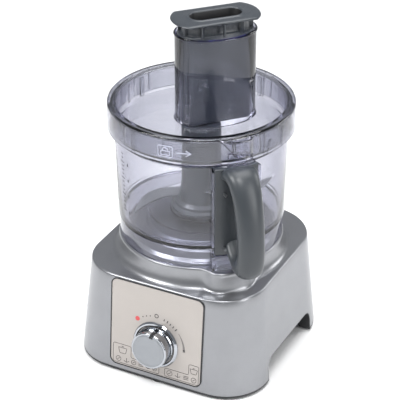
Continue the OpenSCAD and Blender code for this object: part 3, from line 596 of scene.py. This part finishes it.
def stroke(points, width, loop):
    """Outline of a line of some width drawn through points."""
    n = len(points)
    left, right = [], []
    for i, p in enumerate(points):
        before = Vector(points[i - 1] if i or loop else p)
        after = Vector(points[(i + 1) % n] if i < n - 1 or loop else p)
        along = (after - before).normalized()
        side = Vector((-along.y, along.x)) * width / 2
        left.append(Vector(p) + side)
        right.append(Vector(p) - side)
    return left, right


def line_mark(name, points, width, loop=False):
    """A raised printed line on the control panel."""
    left, right = stroke(points, width, loop)
    rings = [[(p.x, p.y, z) for p, z in ((a, -MARK_SUNK), (a, MARK_PROUD), (b, MARK_PROUD), (b, -MARK_SUNK))]
             for a, b in zip(left, right)]
    return placed(loft(name, rings, closed=loop), on_panel(0, 0))


def dot_mark(name, x, y, r):
    """A printed dot on the control panel."""
    outline = [(x + px, y + py) for px, py in arc(0, 0, r, 0, 345, 23)]
    return placed(prism(name, outline, -MARK_SUNK, MARK_PROUD), on_panel(0, 0))


def around_knob(angle, r):
    """Point on the panel, at an angle clockwise from straight above the knob."""
    t = math.radians(angle)
    return r * math.sin(t), r * math.cos(t) - KNOB_DROP


def make_panel_marks(materials):
    """Dial marks round the knob, and two frames of generic tool symbols below it."""
    ink = [line_mark("off_ring", arc(0, 20, 2.1, 0, 345, 23), 0.8, loop=True)]
    ink += [dot_mark("small_dot", x, y, 0.7) for x, y in (around_knob(a, 34) for a in (-29, -21, -13))]
    ink += [line_mark("tick", [around_knob(a, 32.5), around_knob(a, 32.5 + length)], 1.0)
            for a, length in ((16, 2.6), (23, 3.4), (30, 2.6), (37, 3.0), (44, 3.6))]
    ink.append(dot_mark("wedge_end", *around_knob(86, 34.4), 1.2))
    frame_left = [(-52.2, -27), (-30, -27), (-30, -41), (5, -41), (5, -50.6), (-52.2, -50.6)]
    frame_right = [(12, -40.5), (41, -40.5), (41, -27.4), (53, -27.4), (53, -50.6), (12, -50.6)]
    for outline in (frame_left, frame_right):
        ink.append(line_mark("frame", rounded(outline, 2.0, steps=3), 0.5, loop=True))
    ink += bowl_symbol(-40.5, -34, 5.2) + disc_symbol(-45.5, -45.8, 3.0) + whisk_symbol(-35.5, -46, 3.2)
    ink += disc_symbol(-26.5, -45.8, 2.8) + bars_symbol(-17.5, -46, 2.9) + whisk_symbol(-8.5, -46, 3.0)
    ink += disc_symbol(-0.5, -46, 2.4)
    ink += disc_symbol(18, -45.6, 3.2) + whisk_symbol(28, -45.6, 3.2) + bars_symbol(38, -45.6, 3.1)
    ink += bowl_symbol(47.2, -34.5, 4.4) + disc_symbol(47.4, -45.6, 3.0)
    marks = join("panel_marks", ink)
    add_piece(marks, "base", materials["ink"])
    wedge = []
    for i in range(19):
        angle = 52 + 38 * i / 18
        wide = 0.25 + 1.3 * i / 18
        wedge.append((around_knob(angle, 34.4 - wide), around_knob(angle, 34.4 + wide)))
    rings = [[(*a, -0.05), (*a, 0.08), (*b, 0.08), (*b, -0.05)] for a, b in wedge]
    sweep = placed(loft("speed_sweep", rings, closed=False), on_panel(0, 0))
    add_piece(sweep, "base", materials["grey_ink"])
    red = dot_mark("pulse_dot", -23, 10.8, 2.7)
    add_piece(red, "base", materials["red_ink"])


def bowl_symbol(x, y, s):
    """A covered bowl in outline."""
    cup = [(x - s, y + 0.5 * s), (x - 0.7 * s, y - 0.8 * s),
           (x + 0.7 * s, y - 0.8 * s), (x + s, y + 0.5 * s)]
    return [line_mark("symbol", rounded(cup, 0.3 * s, loop=False), 0.5),
            line_mark("symbol", [(x - s, y + 0.5 * s), (x + s, y + 0.5 * s)], 0.5),
            line_mark("symbol", [(x - 0.3 * s, y + 0.8 * s), (x + 0.3 * s, y + 0.8 * s)], 0.6)]


def disc_symbol(x, y, s):
    """A cutting disc: a ring with a slot across it."""
    return [line_mark("symbol", arc(x, y, s, 0, 345, 23), 0.5, loop=True),
            line_mark("symbol", [(x - 0.5 * s, y - 0.4 * s), (x + 0.5 * s, y + 0.4 * s)], 0.6)]


def whisk_symbol(x, y, s):
    """A two-armed tool on a stem."""
    return [line_mark("symbol", [(x, y + s), (x, y - 0.6 * s)], 0.6),
            line_mark("symbol", [(x - s, y - 0.2 * s), (x, y - 0.7 * s), (x + s, y - 0.1 * s)], 0.6)]


def bars_symbol(x, y, s):
    """Three bars, for sliced food."""
    return [line_mark("symbol", [(x - s, y + k * s), (x + s, y + k * s + 0.3)], 0.6)
            for k in (-0.6, 0, 0.6)]


def make_knob(materials):
    """Chrome grip with fine flutes, a dished satin face and a black pointer."""
    steps = 180
    profile = [(0.0, 0.5), (KNOB_R - 1.2, 0.5), (KNOB_R - 0.2, 1.4), (KNOB_R - 0.3, 3.0),
               (KNOB_R - 1.1, 4.2), (KNOB_R - 1.3, 9.5), (KNOB_R - 1.1, KNOB_LEN - 3.6),
               (KNOB_R - 1.3, KNOB_LEN - 2.0), (KNOB_R - 2.0, KNOB_LEN - 1.2),
               (KNOB_R - 3.2, KNOB_LEN - 1.1),
               (0.0, KNOB_LEN - 1.6)]
    profile = rounded(profile, [0, 0.8, 0.5, 0.5, 0.8, 2, 1, 0.8, 0.6, 0.5, 0], steps=3, loop=False)
    rings = []
    for i in range(steps):
        t = 2 * math.pi * i / steps
        flute = 0.22 * (0.5 + 0.5 * math.cos(60 * t))
        ring = []
        for r, z in profile:
            deep = flute if 4.0 < z < KNOB_LEN - 2.4 and r > 15 else 0.0
            ring.append(((r - deep) * math.cos(t), (r - deep) * math.sin(t), z))
        rings.append(ring)
    grip = loft("knob_grip", rings, closed=True, sharp=50)
    notch = prism("notch", [(-2.1, KNOB_R - 6.2), (2.1, KNOB_R - 6.2),
                            (2.1, KNOB_R + 4), (-2.1, KNOB_R + 4)],
                  3.2, KNOB_LEN + 4)
    cut(grip, notch)
    placed(grip, on_panel(0, -KNOB_DROP) @ turned(-10))
    grip.data.shade_smooth()
    grip.data.set_sharp_from_angle(angle=math.radians(40))
    add_piece(grip, "knob", materials["chrome"], ["knob"])
    face = rounded([(0.0, KNOB_LEN - 1.7), (KNOB_R - 3.4, KNOB_LEN - 1.7), (KNOB_R - 3.4, KNOB_LEN - 0.5),
                    (KNOB_R - 4.6, KNOB_LEN), (KNOB_R - 6.4, KNOB_LEN - 0.5), (0.0, KNOB_LEN - 1.0)],
                   [0, 0, 0.6, 0.8, 1.6, 0], loop=False)
    cap = revolve("knob_face", face, steps=120, sharp=50)
    cap_notch = prism("notch", [(-2.1, KNOB_R - 6.2), (2.1, KNOB_R - 6.2), (2.1, KNOB_R), (-2.1, KNOB_R)],
                      10, KNOB_LEN + 4)
    cut(cap, cap_notch)
    placed(cap, on_panel(0, -KNOB_DROP) @ turned(-10))
    cap.data.shade_smooth()
    cap.data.set_sharp_from_angle(angle=math.radians(40))
    add_piece(cap, "knob", materials["knob_face"], ["knob_cap"])
    side = [(KNOB_R - 6.1, 3.2), (KNOB_R - 1.5, 3.2), (KNOB_R - 1.6, KNOB_LEN - 2.6),
            (KNOB_R - 2.8, KNOB_LEN - 1.4), (KNOB_R - 6.1, KNOB_LEN - 1.1)]
    side = rounded(side, [0, 0.6, 0.8, 0.8, 0], steps=3)
    pointer = loft("knob_pointer_bar", [[(x, y, z) for y, z in side] for x in (-2.0, -1.7, 1.7, 2.0)],
                   closed=False)
    placed(pointer, on_panel(0, -KNOB_DROP) @ turned(-10))
    add_piece(pointer, "knob", materials["bezel"], ["knob_pointer"])


# ---------- Bowl and handle ----------

def wall_r(z):
    """Outer radius of the bowl's wall at a height."""
    return 91.0 + (BOWL_TOP_R - 91.0) * (z - FLOOR_Z) / (262.0 - FLOOR_Z)


def sector(r0, r1, a0, a1, steps=16):
    """Outline of a piece of a ring, seen from above."""
    return arc(0, 0, r1, a0, a1, steps) + arc(0, 0, r0, a1, a0, steps)


def make_bowl(materials):
    """Clear work bowl with its centre tube, floor steps and rim."""
    profile = [(86.4, BOWL_Z), (BOWL_FOOT_R, BOWL_Z), (89.9, FLOOR_Z - 2.8), (91.0, FLOOR_Z),
               (BOWL_TOP_R, 262), (RIM_R, 265.5), (RIM_R, 293), (RIM_R - 2.4, 293), (RIM_R - 2.4, 267),
               (BOWL_TOP_R - BOWL_WALL, 263), (91.2 - BOWL_WALL, FLOOR_Z), (57.2, FLOOR_Z),
               (55, FLOOR_Z - 2), (34.5, FLOOR_Z - 2), (33.5, FLOOR_Z - 1), (17, FLOOR_Z - 1),
               (13.8, FLOOR_Z + 4), (13.4, FLOOR_Z + 24), (11.2, FLOOR_Z + 24), (11.2, 154.5),
               (14.4, 154.5), (14.4, FLOOR_Z - 4.4), (57, FLOOR_Z - 4.4), (60, FLOOR_Z - 2.8),
               (87.2, FLOOR_Z - 2.8)]
    radii = [0.6, 0.8, 2, 0.8, 2, 2, 1, 1, 1.5, 2, 7, 0.6, 0.6, 0.5, 0.5, 2.5, 2, 0.6, 0.6, 0.4,
             0.4, 1.5, 1, 1, 1.5]
    bowl = revolve("bowl_shell", rounded(profile, radii, steps=5), steps=192)
    parts = [bowl]
    # Bracket that the handle sits in: two upright fins, and a hollow box open below
    for side in (-1, 1):
        fin = sector(90.6, BRACKET_R, BRACKET_HALF + 0.3, BRACKET_HALF + 1.5, 3)
        if side < 0:
            fin = [(x, -y) for x, y in reversed(fin)]
        parts.append(placed(prism("fin", fin, 145, 262), AT_HANDLE))
    box = prism("box", sector(89.8, BRACKET_R, -BRACKET_HALF - 1.5, BRACKET_HALF + 1.5), 145, 162)
    hollow = prism("hollow", sector(92.4, BRACKET_R - 2, -BRACKET_HALF + 0.6, BRACKET_HALF - 0.6), 140, 160)
    parts.append(placed(cut(box, hollow), AT_HANDLE))
    # Short bayonet ramps inside the foot
    for angle in (20, 110, 200, 290):
        parts.append(prism("ramp", sector(84.6, 86.3, angle, angle + 14, 8), 143, 146.5))
    shell = join("bowl_clear", parts)
    add_piece(shell, "bowl", materials["bowl_plastic"], ["bowl"])


def wall_mark(angle, z, wide, high):
    """A small printed bar on the bowl's outer wall, wide millimetres along it."""
    r0, r1 = wall_r(z) - MARK_SUNK, wall_r(z) + MARK_PROUD
    half = math.degrees(wide / r1) / 2
    return prism("mark", sector(r0, r1, angle - half, angle + half, 4), z - high / 2, z + high / 2)


def make_level_marks(materials):
    """Two columns of level marks on the left of the bowl, with a longer one at every fourth."""
    marks = []
    for i in range(15):
        z = 186 + 4.8 * i
        long = i % 4 == 0
        marks.append(wall_mark(-126.0, z, 7.5 if long else 4.0, 0.9))
        marks.append(wall_mark(-140.0, z + 1.6, 6.5 if i % 5 == 0 else 3.6, 0.8))
        if long:
            marks.append(wall_mark(-119.5, z, 1.5, 3.2))
    add_piece(join("level_marks", marks), "bowl", materials["ink"])


# Side view of the grip: each pair is its outer and its inner edge, as (distance from the axis, height)
GRIP_EDGES = [((94, 262), (94, 246)), ((104.5, 268), (103.5, 250.5)), ((114.5, 271), (111, 251.5)),
              ((126, 266.5), (118.5, 244.5)), ((139, 248.5), (124.4, 230)), ((147.5, 221), (128.4, 211)),
              ((151.2, 202), (129.6, 199)), ((152.4, 186), (130, 187)), ((151.3, 170.5), (128.8, 177.5)),
              ((148.5, 158.5), (126, 172.8)), ((140.5, 152.5), (122, 171.2)), ((130, 151.2), (118.5, 171)),
              ((119.5, 154), (114, 172.5)), ((110, 160.5), (108.5, 177)), ((97, 168), (97, 184))]
GRIP_HALF_WIDTHS = [18.5, 18.5, 17.8, 16.4, 15.3, 14.7, 14.4, 14.4,
                    14.5, 14.7, 14.6, 14.0, 13.4, 13.0, 13.0]


def make_handle(materials):
    """Curved handle on an upright plate."""
    rings = []
    for (outer, inner), half in zip(GRIP_EDGES, GRIP_HALF_WIDTHS):
        outer, inner = Vector(outer), Vector(inner)
        mid, reach = (outer + inner) / 2, (outer - inner) / 2
        ring = []
        for x, y in oval(1.0, half, n=28, power=0.88):
            ring.append((mid.x + reach.x * x, y, mid.y + reach.y * x))
        rings.append(ring)
    grip = loft("grip", rings, closed=False, sharp=80)
    smooth = grip.modifiers.new("smooth", "SUBSURF")
    smooth.levels = smooth.render_levels = 2
    applied(grip)
    placed(grip, AT_HANDLE)
    plate = [(wall_r(164) + 0.4, 164), (BRACKET_R - 0.6, 163),
             (BRACKET_R - 0.6, 265.4), (wall_r(262) + 0.4, 262)]
    plate = revolve("plate", rounded(plate, [1, 2, 2, 1]), 24,
                    HANDLE_ANGLE - BRACKET_HALF, HANDLE_ANGLE + BRACKET_HALF)
    plate = bevelled(plate, 1.2, 3)
    handle = join("handle_grip", [grip, plate])
    handle.data.shade_smooth()
    add_piece(handle, "bowl", materials["handle_plastic"], ["handle"])


# ---------- Lid ----------

def skirt_rib(name, bottom, top, z0, z1, wide, r0, r1):
    """An upright or slanting rib on a round wall. bottom and top are its angles at z0 and z1."""
    half = math.degrees(wide / r1) / 2
    rings = []
    for i in range(5):
        t = i / 4
        mid = bottom + (top - bottom) * t
        rings.append([(x, y, z0 + (z1 - z0) * t) for x, y in sector(r0, r1, mid - half, mid + half, 3)])
    return loft(name, rings, closed=False)


def wall_line(name, points, wide, radius, proud, loop=False):
    """A raised line on a round wall, drawn through points of (angle in degrees, height)."""
    flat = [(math.radians(a) * radius, z) for a, z in points]
    left, right = stroke(flat, wide, loop)
    rings = []
    for a, b in zip(left, right):
        ring = []
        for p, r in ((a, radius - 0.1), (a, radius + proud), (b, radius + proud), (b, radius - 0.1)):
            ring.append((r * math.cos(p.x / radius), r * math.sin(p.x / radius), p.y))
        rings.append(ring)
    return loft(name, rings, closed=loop)


def make_lid(materials):
    """Clear lid: deep well, ribbed skirt and the outlined window on its side."""
    under = LID_FLOOR - LID_WALL
    profile = [(0.0, under), (93.2, under), (93.2, 294.6), (98.3, 294.6), (98.4, 269), (LID_R, 269),
               (100.2, LID_TOP), (WELL_R, LID_TOP), (WELL_R, LID_FLOOR), (0.0, LID_FLOOR)]
    radii = [0, 2.4, 1.5, 1.0, 0.5, 0.5, 3.4, 1.6, 1.2, 0]
    lid = revolve("lid_shell", rounded(profile, radii, steps=5, loop=False), steps=192)
    hole = [(x, y) for x, y in oval(CHUTE_A + 0.05, CHUTE_B + 0.05)]
    cut(lid, placed(prism("hole", hole, LID_FLOOR - 8, LID_FLOOR + 8), AT_CHUTE))
    parts = [lid]
    # Ribs inside the skirt, and the bayonet ribs and gate lines outside it
    for i in range(12):
        parts.append(skirt_rib("rib", 30 * i + 4, 30 * i + 4, 272, 293, 1.6, 96.9, 98.6))
    for angle in (-108.0, -106.0, -23.5, 72.0, 166.5):
        parts.append(skirt_rib("rib", angle, angle, 269.2, 294, 0.9, LID_R - 0.4, LID_R + 0.5))
    parts.append(skirt_rib("ramp", -21.5, -19.0, 269.5, 285, 1.1, LID_R - 0.4, LID_R + 0.6))
    parts.append(skirt_rib("ramp", -8.0, -7.2, 269.5, 292, 1.5, LID_R - 0.4, LID_R + 0.7))
    window = [(-66.5, 270), (-56, 270), (-56.5, 290), (-66, 290)]
    parts.append(wall_line("window", rounded(window, 1.0, steps=3), 0.5, LID_R - 0.1, 0.3, loop=True))
    # Raised guide ribs on the wall of the well
    for angle, wide in ((163.0, 6.0), (177.0, 1.6), (69.0, 0.9), (72.2, 5.0), (-60.0, 1.2), (-150.0, 1.2)):
        parts.append(skirt_rib("guide", angle, angle, LID_FLOOR - 0.5, 292, wide,
                               WELL_R - 0.9, WELL_R + 0.4))
    lid = join("lid_clear", parts)
    lid.data.set_sharp_from_angle(angle=math.radians(35))
    add_piece(lid, "lid", materials["clear_plastic"], ["lid"])


def make_lock_mark(materials):
    """A generic lock sign on the skirt: a rounded frame, an open shackle and an arrow."""
    frame_line = rounded([(-89, 276), (-80, 276), (-80, 288), (-89, 288)], 1.2, steps=3)
    body = [(-87.2, 278), (-81.8, 278), (-81.8, 282.6), (-87.2, 282.6)]
    shackle = [(-86, 282.6), (-86, 285.4), (-84.5, 286.4), (-83, 285.4), (-83, 283.8)]
    arrow = [(-77.5, 282), (-69.5, 282)]
    head = [(-72, 285), (-69, 282), (-72, 279)]
    marks = [wall_line("lock", frame_line, 0.6, LID_R - 0.15, 0.35, loop=True),
             wall_line("lock", body, 0.6, LID_R - 0.15, 0.35, loop=True),
             wall_line("lock", rounded(shackle, 0.8, loop=False), 0.6, LID_R - 0.15, 0.35),
             wall_line("lock", arrow, 1.0, LID_R - 0.15, 0.35),
             wall_line("lock", head, 1.0, LID_R - 0.15, 0.35)]
    add_piece(join("lock_mark", marks), "lid", materials["mark_plastic"])


def make_lid_tab(materials):
    """Hollow lug over the interlock rod: it swells from the skirt and ends square on the right."""
    rings = []
    for i in range(25):
        t = i / 24
        angle = math.radians(-53.0 + 19.0 * t)
        swell = math.sin(math.pi / 2 * min(1.0, t / 0.55)) ** 0.9
        back = smooth_step(t, 0.86, 1.0)
        outer = LID_R + 0.9 + (9.4 * swell) * (1 - 0.35 * back)
        low = 294.5 - 14.5 * smooth_step(t, 0.0, 0.55)
        wall = min(1.9, outer - LID_R - 0.2)
        section = [(LID_R + 0.1, low), (outer - 1.0, low), (outer, low + 1.2), (outer, LID_TOP - 1.4),
                   (outer - 0.5, LID_TOP - 0.4), (outer - wall, LID_TOP - 0.4),
                   (outer - wall, min(low + 2.2, LID_TOP - 1.0)),
                   (LID_R + 0.1, min(low + 2.2, LID_TOP - 1.0))]
        rings.append([(r * math.cos(angle), r * math.sin(angle), z) for r, z in section])
    shell = loft("lug", rings, closed=False, sharp=50)
    end = skirt_rib("lug_end", -34.2, -34.2, 272.5, LID_TOP - 0.6, 1.6, LID_R + 0.1, LID_R + 6.4)
    rib = skirt_rib("lug_rib", -45.0, -45.0, 280, LID_TOP - 2.4, 1.4, LID_R + 0.1, LID_R + 9.0)
    tongue = placed(prism("tongue", sector(RIM_R + 0.6, LID_R + 2.4, -6, 6), 266.4, 268.6), AT_HANDLE)
    neck = placed(prism("neck", sector(LID_R + 0.2, LID_R + 2.2, -5.4, 5.4), 268.4, 281), AT_HANDLE)
    tab = join("lid_lug", [shell, end, rib, tongue, neck])
    tab = bevelled(tab, 0.35, 2, 50)
    add_piece(tab, "lid", materials["smoke_plastic"], ["lid_tab"])


def make_chute(materials):
    """Clear oval feed chute, flared where it meets the lid."""
    a, b = CHUTE_A, CHUTE_B
    outside = [(a - 0.2, b - 0.2, LID_FLOOR - LID_WALL), (a, b, LID_FLOOR),
               (a + 1.3, b + 2.4, LID_FLOOR + 0.1), (a + 1.1, b + 1.9, LID_FLOOR + 0.7),
               (a + 0.6, b + 1.0, LID_FLOOR + 2.2), (a + 0.2, b + 0.3, LID_FLOOR + 4.6),
               (a, b, LID_FLOOR + 8.0), (a, b, CHUTE_TOP - 3.0), (a + 0.5, b + 0.5, CHUTE_TOP - 2.6),
               (a + 1.0, b + 1.0, CHUTE_TOP - 1.8), (a + 1.0, b + 1.0, CHUTE_TOP - 0.7),
               (a + 0.5, b + 0.5, CHUTE_TOP)]
    inner_a, inner_b = a - CHUTE_WALL, b - CHUTE_WALL
    inside = [(inner_a + 0.6, inner_b + 0.6, CHUTE_TOP), (inner_a, inner_b, CHUTE_TOP - 1.0),
              (inner_a, inner_b, LID_FLOOR - LID_WALL)]
    rings = []
    for ra, rb, z in outside + inside:
        rings.append([(x, y, z) for x, y in oval(ra, rb, n=128)])
    tube = loft("tube", rings, closed=True, sharp=40)
    parts = [tube]
    # Upright ribs inside both narrow ends
    for turn in (0.0, 180.0):
        for place in (-32, -20, -8, 8, 20, 32):
            t = math.radians(turn + place)
            x = (inner_a + 0.1) * math.copysign(abs(math.cos(t)) ** OVAL_POWER, math.cos(t))
            y = (inner_b + 0.1) * math.copysign(abs(math.sin(t)) ** OVAL_POWER, math.sin(t))
            parts.append(prism("rib", [(x + px, y + py) for px, py in arc(0, 0, 0.75, 0, 315, 7)],
                               LID_FLOOR, CHUTE_TOP - 4))
    chute = placed(join("chute_clear", parts), AT_CHUTE)
    add_piece(chute, "lid", materials["smoke_plastic"], ["feed_chute"])


# ---------- Pusher ----------

def slot_outline(grow, z):
    """Ring of the stadium-shaped slot in the pusher's top."""
    right = arc(SLOT_HALF, 0, SLOT_R + grow, -90, 90, 24)
    left = arc(-SLOT_HALF, 0, SLOT_R + grow, 90, 270, 24)
    return [(x, y, z) for x, y in right + left]


def around_slot(a, b, z):
    """Ring of an oval whose points lie straight out from those of slot_outline()."""
    ring = []
    for x, y in [point[:2] for point in slot_outline(0, 0)]:
        t = math.atan2(y / b, x / a)
        ring.append((a * math.copysign(abs(math.cos(t)) ** OVAL_POWER, math.cos(t)),
                     b * math.copysign(abs(math.sin(t)) ** OVAL_POWER, math.sin(t)), z))
    return ring


def make_pusher(materials):
    """Hollow pusher with a wide flange, a slot in its top and ribs under the flange."""
    body_a, body_b = CHUTE_A - CHUTE_WALL - 0.9, CHUTE_B - CHUTE_WALL - 0.9
    rings = [around_slot(body_a - 1.4, body_b - 1.4, PUSHER_Z),
             around_slot(body_a - 0.4, body_b - 0.4, PUSHER_Z + 0.4),
             around_slot(body_a, body_b, PUSHER_Z + 1.4),
             around_slot(body_a, body_b, CHUTE_TOP + 0.2),
             around_slot(body_a - 0.6, body_b - 0.6, CHUTE_TOP + 1.0),
             around_slot(body_a - 3.6, body_b - 3.6, CHUTE_TOP + 1.4),
             around_slot(body_a - 4.0, body_b - 4.0, CHUTE_TOP + 2.0),
             around_slot(body_a - 4.0, body_b - 4.0, FLANGE_Z - 1.4),
             around_slot(body_a - 3.0, body_b - 3.0, FLANGE_Z - 0.2),
             around_slot(FLANGE_A - 1.6, FLANGE_B - 1.6, FLANGE_Z),
             around_slot(FLANGE_A - 0.5, FLANGE_B - 0.5, FLANGE_Z + 0.3),
             around_slot(FLANGE_A, FLANGE_B, FLANGE_Z + 1.2),
             around_slot(FLANGE_A - 0.4, FLANGE_B - 0.4, FLANGE_Z + 2.1),
             around_slot(FLANGE_A - 2.4, FLANGE_B - 2.4, FLANGE_Z + 2.7),
             around_slot(FLANGE_A - 9.0, FLANGE_B - 9.0, FLANGE_Z + 3.2),
             slot_outline(4.6, FLANGE_Z + 2.9), slot_outline(3.6, FLANGE_Z + 3.3),
             slot_outline(2.6, FLANGE_TOP - 0.3), slot_outline(1.6, FLANGE_TOP),
             slot_outline(0.6, FLANGE_TOP - 0.4), slot_outline(0.0, FLANGE_TOP - 1.4),
             slot_outline(-0.8, FLANGE_Z - 30), slot_outline(-1.6, PUSHER_Z + 8),
             slot_outline(-2.6, PUSHER_Z + 4.4), slot_outline(-6.0, PUSHER_Z + 3.2)]
    body = loft("plug", rings, closed=False, sharp=50)
    parts = [body]
    # Ribs between the neck and the flange
    for place in (20, 55, 90, 125, 160, 200, 235, 270, 305, 340):
        t = math.radians(place)
        dx, dy = body_a * math.cos(t), body_b * math.sin(t)
        rib = [(0.86, -1.0), (1.0, -1.0), (1.0, 1.0), (0.86, 1.0)]
        side = Vector((-dy, dx)).normalized() * 0.8
        outline = [(dx * k + side.x * w, dy * k + side.y * w) for k, w in rib]
        parts.append(prism("rib", outline, CHUTE_TOP + 0.6, FLANGE_Z + 0.4))
    pusher = placed(join("pusher_plug", parts), AT_CHUTE)
    add_piece(pusher, "pusher", materials["pusher_plastic"], ["pusher"])
    # The well of the slot is painted far darker than the outside, as painted shade down the deep well, and
    # is rougher too
    pusher.data.materials.append(materials["well_painted_shade"])
    inverse = AT_CHUTE.inverted()
    for face in pusher.data.polygons:
        spot = inverse @ (face.center / MM)
        beyond = max(0.0, abs(spot.x) - SLOT_HALF)
        inside = math.hypot(beyond, spot.y) < SLOT_R + 0.2
        if inside and PUSHER_Z + 2 < spot.z < FLANGE_TOP - 0.6:
            face.material_index = 1


# ---------- Knife ----------

def curve(a, b, c, t):
    """Point on a curve from a to c that bends towards b."""
    return Vector(a) * (1 - t) ** 2 + Vector(b) * 2 * t * (1 - t) + Vector(c) * t ** 2


def blade(name, z, turn):
    """Sickle blade from the hub out to its tip, ground thin along its outer edge."""
    rings = []
    for i in range(33):
        t = i / 32
        edge = curve((15.5, -14), (77, 2), (46.2, 66.2), t)
        spine = curve((18.5, 9), (43, 17), (45.8, 66), t)
        width = (edge - spine).length
        ground = edge + (spine - edge) * min(0.6, 5.0 / max(width, 0.01))
        rings.append([(edge.x, edge.y, z + 0.7), (edge.x, edge.y, z + 1.0),
                      (ground.x, ground.y, z + BLADE_T),
                      (spine.x, spine.y, z + BLADE_T), (spine.x, spine.y, z)])
    return placed(loft(name, rings, closed=False, sharp=20), turned(turn))


def make_knife(materials):
    """Hub column with its grip ribs, and the two blades."""
    profile = [(12.2, 191.5), (15.6, 191.5), (15.6, FLOOR_Z + 2), (33, FLOOR_Z + 2), (33, FLOOR_Z + 4.5),
               (29, FLOOR_Z + 6.5), (28.6, FLOOR_Z + 9.5), (25, FLOOR_Z + 13), (23, FLOOR_Z + 24),
               (HUB_R, FLOOR_Z + 34), (HUB_R, HUB_TOP), (8.0, HUB_TOP), (7.0, HUB_TOP - 3.0),
               (0.0, HUB_TOP - 3.0),
               (0.0, HUB_TOP - 5.0), (12.2, HUB_TOP - 6.0)]
    radii = [0.4, 0.4, 0.4, 1.0, 1.2, 1.0, 1.0, 2.0, 4.0, 6.0, 3.0, 1.0, 1.0, 0, 0, 1.0]
    hub = revolve("hub", rounded(profile, radii, steps=5), steps=96)
    parts = [hub]
    # Finger grips up the column
    for i in range(6):
        grip = prism("grip", sector(HUB_R - 0.5, HUB_R, -4, 4, 4), 214, 258)
        parts.append(placed(grip, turned(60 * i)))
    knife = join("knife_body", parts)
    add_piece(knife, "spindle", materials["handle_plastic"],
              ["knife_hub", "knife_collar"])
    low = blade("blade_low", LOWER_BLADE_Z, 179.0)
    add_piece(low, "spindle", materials["steel"], ["lower_blade"])
    high = blade("blade_high", UPPER_BLADE_Z, -19.0)
    add_piece(high, "spindle", materials["steel"], ["upper_blade"])


# ---------- The scene ----------

def main():
    """Camera, stage, finishes for the CAD nodes, then the visual pieces."""
    make_camera()
    make_stage()
    materials = make_materials()
    for row in frame["record"]["subparts"]:
        node = frame["nodes"][row["node"]]
        node.data.materials.clear()
        node.data.materials.append(materials[row["material_slot"]])
    make_housing(materials)
    make_base_trim(materials)
    make_panel_marks(materials)
    make_knob(materials)
    make_bowl(materials)
    make_level_marks(materials)
    make_handle(materials)
    make_lid(materials)
    make_lock_mark(materials)
    make_lid_tab(materials)
    make_chute(materials)
    make_pusher(materials)
    make_knife(materials)


main()
